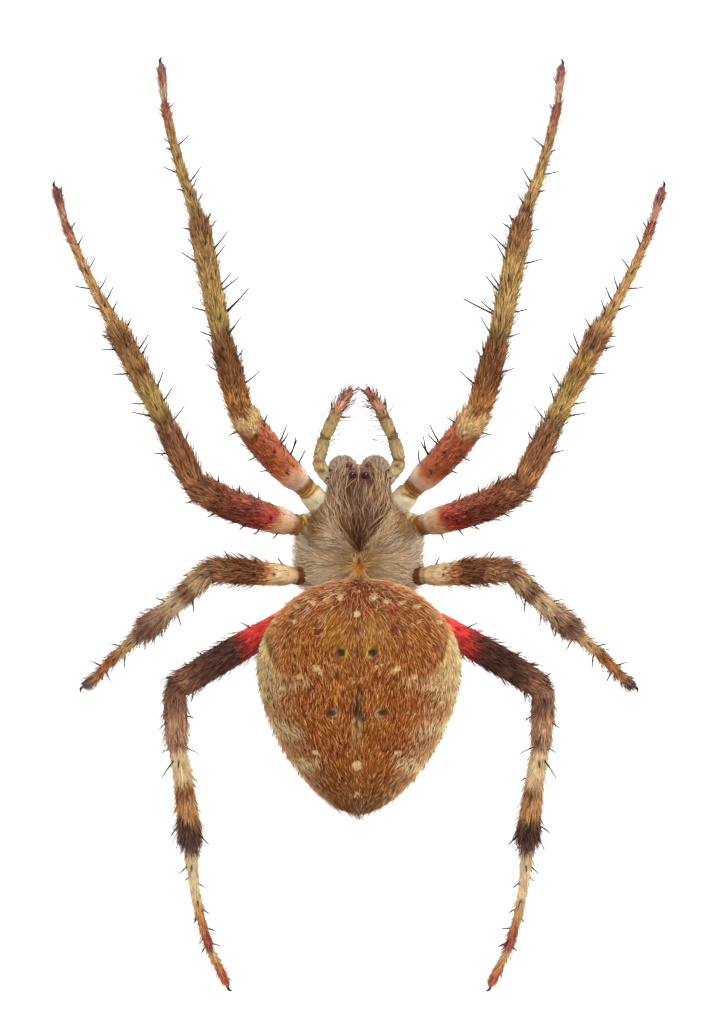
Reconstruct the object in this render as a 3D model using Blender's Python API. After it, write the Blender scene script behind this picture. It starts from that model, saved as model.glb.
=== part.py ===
# A life-size orb weaver spider, standing still on its eight feet.
# It faces -Y with +Z up, and its left side is at +X. Sizes here are in millimetres.

import math

import bmesh
import bpy
from mathutils import Vector

MM = 0.001  # metres in a millimetre
GAP = 0.03  # clearance between neighbouring solids

# Cephalothorax: a narrow head widens to the thorax. Its rim divides the dome from the underside.
HEAD_FRONT = -1.40
THORAX_REAR = 1.85
NECK_START = -0.75
NECK_END = 0.35
HEAD_HALF_WIDTH = 0.80
THORAX_HALF_WIDTH = 1.44
RIM_HEIGHT = 1.30
HEAD_HEIGHT = 2.28
THORAX_HEIGHT = 1.78
STERNUM_HEIGHT = 0.72
MOUTH_START = -1.35  # the underside deepens behind the chelicerae, between these
MOUTH_END = -0.65
CREST_FALL_START = -0.20  # the crest drops from the head to the thorax between these
CREST_FALL_END = 0.95
HEAD_WIDEST_SHARE = 0.42
HEAD_OUTLINE_POWERS = (5.0, 4.0)  # how square each outline is, before and behind its widest place
HEAD_CREST_POWERS = (3.2, 2.2)
STERNUM_POWERS = (2.4, 2.4)
RIM_DEPTH = 0.02  # depth of the underside where it runs out

# Abdomen: an egg with a blunt front that overhangs the thorax, and a long taper behind.
ABDOMEN_FRONT = 1.20
ABDOMEN_LENGTH = 5.48
ABDOMEN_HALF_WIDTH = 2.36
ABDOMEN_HALF_HEIGHT = 1.85
ABDOMEN_WIDEST_SHARE = 0.37
ABDOMEN_DEEPEST_SHARE = 0.42
ABDOMEN_OUTLINE_POWERS = (2.0, 1.65)
ABDOMEN_CREST_POWERS = (2.0, 2.0)
ABDOMEN_AXIS_FRONT = 2.85  # height of its axis at the front, and how far that drops to the rear
ABDOMEN_AXIS_DROP = 0.95

PEDICEL_START = (0.0, 1.45, 1.20)
PEDICEL_END = (0.0, 2.35, 1.62)
PEDICEL_RADII = (0.26, 0.29)

SPINNERET_BASE = (0.0, 5.32, 0.95)
SPINNERET_TIP = (0.0, 5.62, 0.30)
SPINNERET_RADII = (0.44, 0.42, 0.34, 0.20)

# Chelicerae hang from the front of the head, and a fang is folded under each.
CHELICERA_TOP = (0.395, -1.36, 1.80)
CHELICERA_TIP = (0.310, -1.13, 0.55)
CHELICERA_RADIUS = 0.325
CHELICERA_POWER = 2.8
CHELICERA_TAPER = 0.85  # width at the tip, as a share of that at the top
FANG_PATH = ((0.36, -1.16, 0.72), (0.36, -1.14, 0.52), (0.28, -1.03, 0.42), (0.13, -0.92, 0.44))
FANG_RADII = (0.09, 0.08, 0.06, 0.025)

# Palps: points from the base to the tip. The third joint parts the upper half from the lower.
PALP_PATH = (
    (0.58, -0.62, 1.00),
    (0.85, -0.86, 0.93),
    (0.95, -1.42, 1.45),
    (0.81, -1.97, 1.40),
    (0.49, -2.67, 1.10),
    (0.16, -3.16, 0.80),
)
PALP_RADII = (0.12, 0.16, 0.23, 0.24, 0.25, 0.14)
PALP_JOINT = 3

# Eyes: each pair's distance from the midline, its place along the body and its radius.
EYES = {
    "eye_front_median": (0.215, -1.345, 0.085),
    "eye_rear_median": (0.147, -1.136, 0.085),
    "eye_front_lateral": (0.640, -1.240, 0.065),
    "eye_rear_lateral": (0.690, -1.070, 0.065),
}
EYE_SINK = 0.25  # share of the radius by which an eye's centre lies under the head's surface

# Each segment of a leg: its reach along the ground, its heading and the height of its far end.
# A heading of 0 points forward, 90 straight out and 180 back. The hip is inside the body.
# A bow is how far the middle of a segment curves towards the limb in front of it.
LEGS = {
    "leg_1": {
        "hip": (0.71, -0.23, 1.15),
        "coxa": (0.82, 40.0, 1.50),
        "femur": (2.29, 40.0, 3.60),
        "patella": (1.67, 14.5, 3.50),
        "tibia": (2.94, 11.5, 1.95),
        "metatarsus": (2.78, 16.6, 0.50),
        "tarsus": (0.84, 5.0, 0.19),
        "radii": (0.20, 0.31, 0.32, 0.29, 0.28, 0.25, 0.20),
        "bows": {"femur": -0.10, "metatarsus": -0.07},
    },
    "leg_2": {
        "hip": (0.80, 0.25, 1.15),
        "coxa": (0.68, 62.5, 1.45),
        "femur": (2.47, 70.5, 3.35),
        "patella": (1.51, 26.0, 3.25),
        "tibia": (2.70, 27.5, 1.80),
        "metatarsus": (2.58, 26.5, 0.50),
        "tarsus": (0.82, 16.0, 0.19),
        "radii": (0.20, 0.31, 0.31, 0.29, 0.28, 0.25, 0.20),
        "bows": {"femur": -0.16, "metatarsus": -0.06},
    },
    "leg_3": {
        "hip": (0.80, 0.95, 1.12),
        "coxa": (0.66, 112.0, 1.35),
        "femur": (2.01, 84.0, 2.60),
        "patella": (0.86, 136.0, 2.45),
        "tibia": (1.29, 131.5, 1.45),
        "metatarsus": (1.17, 133.5, 0.50),
        "tarsus": (0.65, 132.0, 0.19),
        "radii": (0.20, 0.28, 0.27, 0.26, 0.26, 0.25, 0.20),
        "bows": {},
    },
    "leg_4": {
        "hip": (0.67, 1.40, 1.00),
        "coxa": (0.95, 133.0, 1.08),
        "femur": (3.32, 120.5, 2.75),
        "patella": (1.31, 182.5, 2.75),
        "tibia": (2.42, 187.0, 1.65),
        "metatarsus": (2.41, 189.8, 0.50),
        "tarsus": (0.88, 206.0, 0.19),
        "radii": (0.20, 0.28, 0.31, 0.28, 0.28, 0.25, 0.20),
        "bows": {"femur": 0.03, "tibia": -0.04, "metatarsus": 0.09},
    },
}
SEGMENTS = ("coxa", "femur", "patella", "tibia", "metatarsus", "tarsus")
LEG_NODES = {
    "coxa": ("coxa",),
    "femur": ("femur",),
    "patella": ("patella",),
    "tibia": ("tibia",),
    "foot": ("metatarsus", "tarsus"),
}
BELLY = {"coxa": 0.02, "femur": 0.05, "patella": 0.02, "tibia": 0.01, "metatarsus": 0.0, "tarsus": 0.0}
RIGHT_SWING = {"leg_1": 0.6}  # degrees by which a right leg is held further out than the left one
CLAW_REACH = 0.12
CLAW_RADIUS = 0.09

SIDES = {"left": 1, "right": -1}
SHARP_ANGLE = 50.0  # degrees
LIMB_SIDES = 10
BODY_SIDES = 28
BODY_RINGS = 22
LOBE_SIDES = 12
LOBE_RINGS = 10
EYE_SIDES = 10
EYE_RINGS = 6

# Colour and roughness of each kind of part.
FINISHES = {
    "abdomen": ((0.36, 0.15, 0.05), 0.70),
    "cephalothorax": ((0.36, 0.28, 0.20), 0.65),
    "pedicel": ((0.30, 0.20, 0.12), 0.60),
    "spinnerets": ((0.16, 0.08, 0.04), 0.60),
    "chelicera": ((0.28, 0.19, 0.13), 0.50),
    "fang": ((0.05, 0.01, 0.008), 0.20),
    "palp": ((0.52, 0.40, 0.22), 0.55),
    "eye": ((0.02, 0.012, 0.010), 0.08),
    "coxa": ((0.52, 0.42, 0.27), 0.55),
    "leg_1_femur": ((0.55, 0.16, 0.06), 0.50),
    "leg_2_femur": ((0.36, 0.10, 0.05), 0.50),
    "leg_3_femur": ((0.40, 0.24, 0.12), 0.50),
    "leg_4_femur": ((0.30, 0.04, 0.03), 0.50),
    "patella": ((0.16, 0.09, 0.05), 0.55),
    "tibia": ((0.40, 0.27, 0.10), 0.55),
    "foot": ((0.50, 0.30, 0.14), 0.55),
}


def smooth_step(low, high, value):
    """0 up to low, 1 from high, and a smooth rise between them."""
    share = min(max((value - low) / (high - low), 0.0), 1.0)
    return share * share * (3.0 - 2.0 * share)


def mix(first, second, share):
    return first + (second - first) * share


def rounded(share, widest, powers):
    """1 at the widest share of a length, and 0 at both ends, along superellipse arcs."""
    if share < widest:
        away, power = (widest - share) / widest, powers[0]
    else:
        away, power = (share - widest) / (1.0 - widest), powers[1]
    return max(1.0 - away**power, 0.0) ** (1.0 / power)


def cephalothorax_section(y, grow=0.0):
    """Half width, height above the rim and depth below it, at a place along the body."""
    share = (y - HEAD_FRONT + grow) / (THORAX_REAR - HEAD_FRONT + 2.0 * grow)
    share = min(max(share, 0.0), 1.0)
    half_width = mix(HEAD_HALF_WIDTH, THORAX_HALF_WIDTH, smooth_step(NECK_START, NECK_END, y))
    fall = smooth_step(CREST_FALL_START, CREST_FALL_END, y)
    crest = mix(HEAD_HEIGHT, THORAX_HEIGHT, fall) - RIM_HEIGHT
    depth = (RIM_HEIGHT - STERNUM_HEIGHT) * smooth_step(MOUTH_START, MOUTH_END, y)
    wide = (half_width + grow) * rounded(share, HEAD_WIDEST_SHARE, HEAD_OUTLINE_POWERS)
    high = (crest + grow) * rounded(share, HEAD_WIDEST_SHARE, HEAD_CREST_POWERS)
    deep = (depth + grow) * rounded(share, HEAD_WIDEST_SHARE, STERNUM_POWERS) + RIM_DEPTH
    return wide, high, deep


def carapace_height(x, y):
    """Height of the carapace's surface over a point."""
    wide, high, _deep = cephalothorax_section(y)
    return RIM_HEIGHT + high * math.sqrt(max(1.0 - (x / wide) ** 2, 0.0))


def abdomen_section(share, grow=0.0):
    """Half width, half height and axis height, at a share of the abdomen's length."""
    wide = (ABDOMEN_HALF_WIDTH + grow) * rounded(share, ABDOMEN_WIDEST_SHARE, ABDOMEN_OUTLINE_POWERS)
    high = (ABDOMEN_HALF_HEIGHT + grow) * rounded(share, ABDOMEN_DEEPEST_SHARE, ABDOMEN_CREST_POWERS)
    return wide, high, ABDOMEN_AXIS_FRONT - ABDOMEN_AXIS_DROP * share


def finish(kind):
    """The material of a kind of part, made once."""
    found = bpy.data.materials.get(kind)
    if found:
        return found
    colour, roughness = FINISHES[kind]
    material = bpy.data.materials.new(kind)
    material.use_nodes = True
    shader = material.node_tree.nodes["Principled BSDF"]
    shader.inputs["Base Color"].default_value = (*colour, 1.0)
    shader.inputs["Roughness"].default_value = roughness
    shader.inputs["Metallic"].default_value = 0.0
    return material


def make_object(name, mesh, kind, collection):
    """Turns a bmesh in millimetres into an object in metres. Its triangles leave no face bent for a Boolean."""
    bmesh.ops.triangulate(mesh, faces=mesh.faces)
    bmesh.ops.scale(mesh, vec=(MM, MM, MM), verts=mesh.verts)
    data = bpy.data.meshes.new(name)
    mesh.to_mesh(data)
    mesh.free()
    data.shade_smooth()
    data.set_sharp_from_angle(angle=math.radians(SHARP_ANGLE))
    data.materials.append(finish(kind))
    obj = bpy.data.objects.new(name, data)
    collection.objects.link(obj)
    return obj


def tube(centres, planes, along, radii):
    """A closed limb through rings of one size of polygon. Each ring is slid along the limb into its plane."""
    last = len(centres) - 1
    mesh = bmesh.new()
    bmesh.ops.create_cone(mesh, cap_ends=True, segments=LIMB_SIDES, radius1=1, radius2=1, depth=1)
    lengthwise = [e for e in mesh.edges if abs(e.verts[0].co.z - e.verts[1].co.z) > 0.5]
    bmesh.ops.subdivide_edges(mesh, edges=lengthwise, cuts=last - 1)
    for vertex in mesh.verts:
        ring = round((vertex.co.z + 0.5) * last)
        run = along[ring]
        across = run.cross(Vector((0.0, 0.0, 1.0))).normalized()
        down = run.cross(across)
        offset = (across * vertex.co.x + down * vertex.co.y) * radii[ring]
        slide = -offset.dot(planes[ring]) / run.dot(planes[ring])
        vertex.co = centres[ring] + offset + run * slide
    return mesh


def bent_tube(points, radii):
    """A closed limb that turns at each of its points."""
    points = [Vector(point) for point in points]
    runs = [(b - a).normalized() for a, b in zip(points, points[1:])]
    turns = [runs[0]] + [(a + b).normalized() for a, b in zip(runs, runs[1:])] + [runs[-1]]
    return tube(points, turns, turns, radii)


def lobe(start, end, radius, grow=0.0):
    """A blunt spindle between two points: a sphere drawn out along its own axis."""
    start, end = Vector(start), Vector(end)
    run = (end - start).normalized()
    across = run.cross(Vector((0.0, 1.0, 0.0))).normalized()
    other = run.cross(across)
    mesh = bmesh.new()
    bmesh.ops.create_uvsphere(mesh, u_segments=LOBE_SIDES, v_segments=LOBE_RINGS, radius=1)
    for vertex in mesh.verts:
        ball = vertex.co.copy()
        reach = math.hypot(ball.x, ball.y)
        share = (1.0 + ball.z) / 2.0
        bulge = rounded(share, 0.5, (CHELICERA_POWER, CHELICERA_POWER)) * mix(1.0, CHELICERA_TAPER, share)
        out = (across * ball.x + other * ball.y) * ((radius + grow) * bulge / max(reach, 1e-6))
        vertex.co = start.lerp(end, share) + run * (grow * ball.z) + (out if reach > 1e-4 else Vector())
    return mesh


def body_form(place):
    """A body part from a sphere whose poles become its two ends."""
    mesh = bmesh.new()
    bmesh.ops.create_uvsphere(mesh, u_segments=BODY_SIDES, v_segments=BODY_RINGS, radius=1)
    for vertex in mesh.verts:
        ball = vertex.co.copy()
        reach = math.hypot(ball.x, ball.y)
        sideways, upwards = (ball.x / reach, ball.y / reach) if reach > 1e-4 else (0.0, 0.0)
        vertex.co = place((1.0 - ball.z) / 2.0, sideways, upwards)
    return mesh


def cephalothorax(grow=0.0):
    front, rear = HEAD_FRONT - grow, THORAX_REAR + grow

    def place(share, sideways, upwards):
        y = mix(front, rear, share)
        wide, high, deep = cephalothorax_section(y, grow)
        return Vector((sideways * wide, y, RIM_HEIGHT + upwards * (high if upwards > 0 else deep)))

    return body_form(place)


def abdomen(grow=0.0):
    def place(share, sideways, upwards):
        wide, high, axis = abdomen_section(share, grow)
        y = ABDOMEN_FRONT - grow + (ABDOMEN_LENGTH + 2.0 * grow) * share
        return Vector((sideways * wide, y, axis + upwards * high))

    return body_form(place)


def leg_joints(leg, side):
    """The centres of a leg's joints from the hip to the tarsus's end."""
    x, y, z = LEGS[leg]["hip"]
    swing = RIGHT_SWING.get(leg, 0.0) if side < 0 else 0.0
    joints = [Vector((side * x, y, z))]
    for segment in SEGMENTS:
        reach, heading, height = LEGS[leg][segment]
        turn = math.radians(heading + swing)
        x += reach * math.sin(turn)
        y -= reach * math.cos(turn)
        joints.append(Vector((side * x, y, height)))
    return joints


def segment_rings(joints, planes, radii, index, belly, bow):
    """Rings along one segment: both ends in their joints' planes, and two between them."""
    start, end = joints[index], joints[index + 1]
    run = (end - start).normalized()
    forward = run.cross(Vector((0.0, 0.0, 1.0))).normalized()  # on the left side
    rings = []
    for share in (0.0, 1 / 3, 2 / 3, 1.0):
        inset = run * (GAP / 2.0) * (1.0 if share == 0.0 else -1.0 if share == 1.0 else 0.0)
        plane = planes[index] if share == 0.0 else planes[index + 1] if share == 1.0 else run
        swell = math.sin(math.pi * share)
        radius = mix(radii[index], radii[index + 1], share) + belly * swell
        rings.append((start.lerp(end, share) + inset + forward * (bow * swell), plane, run, radius))
    return rings


def leg_meshes(leg, side):
    """Each node of a leg, parted from the next by the plane that halves the bend between them."""
    joints = leg_joints(leg, side)
    radii = LEGS[leg]["radii"]
    runs = [(b - a).normalized() for a, b in zip(joints, joints[1:])]
    planes = [runs[0]] + [(a + b).normalized() for a, b in zip(runs, runs[1:])] + [runs[-1]]
    meshes = {}
    for node, segments in LEG_NODES.items():
        rings = []
        for segment in segments:
            index = SEGMENTS.index(segment)
            bow = side * LEGS[leg]["bows"].get(segment, 0.0)
            part = segment_rings(joints, planes, radii, index, BELLY[segment], bow)
            rings = rings[:-1] + part if rings else part
        if node == "foot":
            tip = joints[-1] + runs[-1] * CLAW_REACH
            tip.z = CLAW_RADIUS
            rings.append((tip, runs[-1], runs[-1], CLAW_RADIUS))
        meshes[node] = tube(*zip(*rings))
        if node == "foot":
            for vertex in meshes[node].verts:
                vertex.co.z = max(vertex.co.z, 0.0)
    return meshes


def eye_mesh(x, y, radius):
    mesh = bmesh.new()
    bmesh.ops.create_uvsphere(mesh, u_segments=EYE_SIDES, v_segments=EYE_RINGS, radius=radius)
    centre = Vector((x, y, carapace_height(x, y) - EYE_SINK * radius))
    bmesh.ops.translate(mesh, vec=centre, verts=mesh.verts)
    return mesh


def cut(obj, cutter):
    """Takes a cutter's space out of a part."""
    modifier = obj.modifiers.new("clear_of_" + cutter.name, "BOOLEAN")
    modifier.operation = "DIFFERENCE"
    modifier.solver = "EXACT"
    modifier.object = cutter


def make_cutter(name, mesh, collection):
    cutter = make_object(name, mesh, "pedicel", collection)
    cutter.hide_render = True
    cutter.display_type = "WIRE"
    return cutter


def add_body(parts, cutters):
    """The two body halves, what joins them and the spinnerets. Returns the space that the head takes."""
    make_object("cephalothorax", cephalothorax(), "cephalothorax", parts)
    make_object("abdomen", abdomen(), "abdomen", parts)
    head_space = make_cutter("head_space", cephalothorax(GAP), cutters)
    abdomen_space = make_cutter("abdomen_space", abdomen(GAP), cutters)

    stalk = bent_tube((PEDICEL_START, PEDICEL_END), PEDICEL_RADII)
    pedicel = make_object("pedicel", stalk, "pedicel", parts)
    cut(pedicel, head_space)
    cut(pedicel, abdomen_space)

    base, tip = Vector(SPINNERET_BASE), Vector(SPINNERET_TIP)
    steps = len(SPINNERET_RADII) - 1
    places = [base.lerp(tip, step / steps) for step in range(steps + 1)]
    spinnerets = make_object("spinnerets", bent_tube(places, SPINNERET_RADII), "spinnerets", parts)
    cut(spinnerets, abdomen_space)
    return head_space


def add_mouthparts(name, side, parts, cutters, head_space):
    """One chelicera with its fang, and one palp in two halves."""
    top = Vector((side * CHELICERA_TOP[0], *CHELICERA_TOP[1:]))
    tip = Vector((side * CHELICERA_TIP[0], *CHELICERA_TIP[1:]))
    chelicera = make_object("chelicera_" + name, lobe(top, tip, CHELICERA_RADIUS), "chelicera", parts)
    cut(chelicera, head_space)
    space = lobe(top, tip, CHELICERA_RADIUS, GAP)
    chelicera_space = make_cutter("chelicera_space_" + name, space, cutters)

    fang_path = [(side * x, y, z) for x, y, z in FANG_PATH]
    fang = make_object("fang_" + name, bent_tube(fang_path, FANG_RADII), "fang", parts)
    cut(fang, chelicera_space)

    points = [Vector((side * x, y, z)) for x, y, z in PALP_PATH]
    runs = [(b - a).normalized() for a, b in zip(points, points[1:])]
    planes = [runs[0]] + [(a + b).normalized() for a, b in zip(runs, runs[1:])] + [runs[-1]]
    upper = points[: PALP_JOINT + 1]
    lower = points[PALP_JOINT:]
    upper[-1] = upper[-1] - runs[PALP_JOINT - 1] * GAP / 2.0
    lower[0] = lower[0] + runs[PALP_JOINT] * GAP / 2.0
    for half, places, first in (("upper", upper, 0), ("lower", lower, PALP_JOINT)):
        last = first + len(places)
        mesh = tube(places, planes[first:last], planes[first:last], PALP_RADII[first:last])
        palp = make_object("palp_%s_%s" % (name, half), mesh, "palp", parts)
        if half == "upper":
            cut(palp, head_space)


def add_eyes(name, side, parts, head_space):
    for pair, (x, y, radius) in EYES.items():
        eye = make_object("%s_%s" % (pair, name), eye_mesh(side * x, y, radius), "eye", parts)
        cut(eye, head_space)


def add_legs(name, side, parts, head_space):
    for leg in LEGS:
        for node, mesh in leg_meshes(leg, side).items():
            kind = leg + "_femur" if node == "femur" else node
            piece = make_object("%s_%s_%s" % (leg, name, node), mesh, kind, parts)
            if node == "coxa":
                cut(piece, head_space)


def centre_on_origin(parts, cutters):
    """Moves everything level, so that the middle of the whole box stands over the origin."""
    points = [vertex.co for part in parts.objects for vertex in part.data.vertices]
    x = (min(p.x for p in points) + max(p.x for p in points)) / 2.0
    y = (min(p.y for p in points) + max(p.y for p in points)) / 2.0
    for obj in (*parts.objects, *cutters.objects):
        obj.location = (-x, -y, 0.0)


def build():
    for obj in list(bpy.data.objects):
        bpy.data.objects.remove(obj)
    parts = bpy.data.collections.new("orb_weaver_spider")
    cutters = bpy.data.collections.new("cutters")
    for collection in (parts, cutters):
        bpy.context.scene.collection.children.link(collection)
    head_space = add_body(parts, cutters)
    for name, side in SIDES.items():
        add_mouthparts(name, side, parts, cutters, head_space)
        add_eyes(name, side, parts, head_space)
        add_legs(name, side, parts, head_space)
    centre_on_origin(parts, cutters)


build()
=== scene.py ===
# Orb weaver spider with a body about 8 mm long, standing still on its eight feet.
# The skin is one mesh. Setae, spines, eyes, fangs and claws are separate pieces over it.
import math

import bpy
import numpy as np
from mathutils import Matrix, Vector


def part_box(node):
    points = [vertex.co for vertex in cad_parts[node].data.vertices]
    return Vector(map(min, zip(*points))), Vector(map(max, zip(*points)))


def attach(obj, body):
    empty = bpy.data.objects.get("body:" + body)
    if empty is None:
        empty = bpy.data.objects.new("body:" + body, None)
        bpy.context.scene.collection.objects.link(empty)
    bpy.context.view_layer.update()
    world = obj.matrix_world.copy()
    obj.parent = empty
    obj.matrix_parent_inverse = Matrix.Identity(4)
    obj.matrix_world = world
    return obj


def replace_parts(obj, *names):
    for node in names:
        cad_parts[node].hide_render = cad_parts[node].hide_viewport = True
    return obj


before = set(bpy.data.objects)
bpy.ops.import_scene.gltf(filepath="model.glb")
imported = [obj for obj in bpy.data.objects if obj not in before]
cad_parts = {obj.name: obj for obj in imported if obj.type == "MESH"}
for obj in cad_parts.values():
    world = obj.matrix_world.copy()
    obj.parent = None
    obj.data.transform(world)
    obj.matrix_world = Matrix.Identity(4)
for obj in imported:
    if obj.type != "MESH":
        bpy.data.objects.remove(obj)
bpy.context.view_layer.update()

mm = 0.001  # every size below is in millimetres
sides = {"left": 1, "right": -1}
legNames = ("leg_1", "leg_2", "leg_3", "leg_4")
legParts = ("coxa", "femur", "patella", "tibia", "foot")
eyeNames = ("eye_front_median", "eye_rear_median", "eye_front_lateral", "eye_rear_lateral")
upwards = np.array((0.0, 0.0, 1.0))
touching = 0.17  # corners of two nodes that are closer than this lie where the nodes meet
hairFloor = 0.004  # how far over the floor the hairs under the feet lie
wholeMap = (0.01, 0.01, 0.99, 0.99)  # left, low, right and high edge of a patch on a piece's map
print("frame loaded:", len(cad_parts), "nodes")


def corners(node):
    low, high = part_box(node)
    return np.array(low) / mm, np.array(high) / mm


def pointsOf(node):  # each corner point of a node once
    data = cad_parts[node].data
    flat = np.empty(len(data.vertices) * 3, np.float32)
    data.vertices.foreach_get("co", flat)
    return np.unique(np.round(flat.reshape(-1, 3) / mm, 3), axis=0)


def meetingPoint(first, second):  # middle of the faces where two nodes meet
    a, b = pointsOf(first), pointsOf(second)
    close = np.linalg.norm(a[:, None] - b[None], axis=2) < touching
    return np.vstack((a[close.any(1)], b[close.any(0)])).mean(0)


def ringCentres(node, start, end, sidesPerRing=10):  # middles of a limb's rings from start to end
    found = pointsOf(node)
    found = found[np.argsort(found @ (end - start))]
    return [found[i:i + sidesPerRing].mean(0) for i in range(0, len(found), sidesPerRing)]


def linear(code):  # sRGB hex to linear colour
    channels = np.array([int(code[i:i + 2], 16) / 255 for i in (0, 2, 4)])
    return np.where(channels < 0.04045, channels / 12.92, ((channels + 0.055) / 1.055) ** 2.4)


def smooth(low, high, value):
    share = np.clip((value - low) / (high - low), 0, 1)
    return share * share * (3 - 2 * share)


def plain(code, count):  # one colour for each of so many points
    return np.tile(linear(code), (count, 1))


def blob(x, y, centre, size):  # 1 at a spot's centre and 0 well outside it
    return np.exp(-((x - centre[0]) ** 2 + (y - centre[1]) ** 2) / (2 * size * size))


def spot(x, y, middle, size, soft=0.35):  # an oval spot with a clearer edge than a blob has
    away = np.hypot((x - middle[0]) / size[0], (y - middle[1]) / size[1])
    return smooth(1 + soft, 1 - soft, away)


def mixed(first, second, amount):
    amount = np.clip(amount, 0, 1)[:, None]
    return first * (1 - amount) + second * amount


def painted(colour, layers):  # hex colours laid over it, each with how much of it shows at each point
    for code, amount in layers:
        colour = mixed(colour, linear(code), amount)
    return colour


def unit(vectors):
    return vectors / np.maximum(np.linalg.norm(vectors, axis=-1, keepdims=True), 1e-9)


def ripple(points, size, seed):  # soft seeded unevenness from -1 to 1, with lumps of about that size
    draw = np.random.default_rng(seed)
    total = np.zeros(len(points))
    for _ in range(7):
        direction = unit(draw.normal(size=3)) * (2 * math.pi / (size * draw.uniform(1.4, 2.8)))
        total += np.sin(points @ direction + draw.uniform(0, 2 * math.pi))
    return total / 3.2


def stops(table, value):  # colours between stops, from "place hex" pairs
    places = [float(entry.split()[0]) for entry in table]
    colours = np.array([linear(entry.split()[1]) for entry in table])
    return np.stack([np.interp(value, places, colours[:, i]) for i in range(3)], axis=1)


studio = {
    "sky": "ffffff", "skyStrength": 0.68, "backdropStrength": 1.0,
    "softboxSize": 260.0, "softboxHeight": 330.0, "softboxAside": (-90.0, -150.0), "softboxPower": 1.52,
    "floorSize": 900.0, "floorColour": "fbfbfa", "floorGlow": 0.85,
    "lens": 300.0, "cameraHeight": 198.1, "cameraAhead": 0.30, "cameraAside": 0.012,
}


def buildStudio(middleY):
    scene = bpy.context.scene
    scene.view_settings.view_transform = "Standard"
    world = bpy.data.worlds.new("paleSky")
    world.use_nodes = True
    sky = world.node_tree.nodes["Background"]
    sky.inputs["Color"].default_value = (*linear(studio["sky"]), 1)
    # behind the floor's edge it looks as pale as the floor
    seen = addNode(world.node_tree, "ShaderNodeLightPath")
    strength = addNode(world.node_tree, "ShaderNodeMapRange",
                       {"To Min": studio["skyStrength"], "To Max": studio["backdropStrength"]},
                       {"Value": (seen, "Is Camera Ray")})
    world.node_tree.links.new(strength.outputs["Result"], sky.inputs["Strength"])
    scene.world = world

    light = bpy.data.lights.new("softbox", "AREA")
    light.shape = "DISK"
    light.size = studio["softboxSize"] * mm
    light.energy = studio["softboxPower"]
    lamp = bpy.data.objects.new("softbox", light)
    lamp.location = np.array((*studio["softboxAside"], studio["softboxHeight"])) * mm
    lamp.rotation_euler = (-lamp.location).to_track_quat("-Z", "Y").to_euler()
    lamp.visible_camera = False
    scene.collection.objects.link(lamp)

    half = studio["floorSize"] * mm / 2
    floorMesh = bpy.data.meshes.new("floor")
    floorMesh.from_pydata([(-half, -half, 0), (half, -half, 0), (half, half, 0), (-half, half, 0)],
                          [], [(0, 1, 2, 3)])
    floor = bpy.data.objects.new("floor", floorMesh)
    floorMesh.materials.append(materials["matteCard"])
    scene.collection.objects.link(floor)

    lens = bpy.data.cameras.new("overhead")
    lens.lens = studio["lens"]
    lens.clip_start, lens.clip_end = 1 * mm, 5000 * mm
    camera = bpy.data.objects.new("overhead", lens)
    place = (studio["cameraAside"], middleY - studio["cameraAhead"], studio["cameraHeight"])
    camera.location = np.array(place) * mm
    camera.rotation_euler = (0, 0, math.pi)
    scene.collection.objects.link(camera)
    scene.camera = camera


def addNode(tree, kind, settings=None, links=None):  # one node with its settings and its incoming links
    node = tree.nodes.new(kind)
    for name, value in (settings or {}).items():
        if isinstance(name, str) and hasattr(node, name):
            setattr(node, name, value)
        else:
            node.inputs[name].default_value = value
    for name, (source, output) in (links or {}).items():
        tree.links.new(source.outputs[output], node.inputs[name])
    return node


def newMaterial(name, settings):
    material = bpy.data.materials.new(name)
    material.use_nodes = True
    tree = material.node_tree
    shader = tree.nodes["Principled BSDF"]
    for socket, value in settings.items():
        shader.inputs[socket].default_value = value
    return tree, shader, material


def addBump(tree, shader, height, distance, strength):
    bump = addNode(tree, "ShaderNodeBump", {"Distance": distance * mm, "Strength": strength},
                   {"Height": height})
    tree.links.new(bump.outputs["Normal"], shader.inputs["Normal"])


def shadeVariation(tree, shader, size, spread):  # markings, unevenly lighter and darker
    place = addNode(tree, "ShaderNodeTexCoord")
    colour = addNode(tree, "ShaderNodeAttribute", {"attribute_name": "markings"})
    cloud = addNode(tree, "ShaderNodeTexNoise", {"Scale": 1 / (size * mm), "Detail": 4.0, "Roughness": 0.6},
                    {"Vector": (place, "Object")})
    level = addNode(tree, "ShaderNodeMapRange",
                    {"From Min": 0.3, "From Max": 0.7, "To Min": 1 - spread, "To Max": 1 + spread},
                    {"Value": (cloud, "Fac")})
    shaded = addNode(tree, "ShaderNodeVectorMath", {"operation": "SCALE"},
                     {0: (colour, "Color"), "Scale": (level, "Result")})
    tree.links.new(shaded.outputs["Vector"], shader.inputs["Base Color"])
    return place


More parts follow.
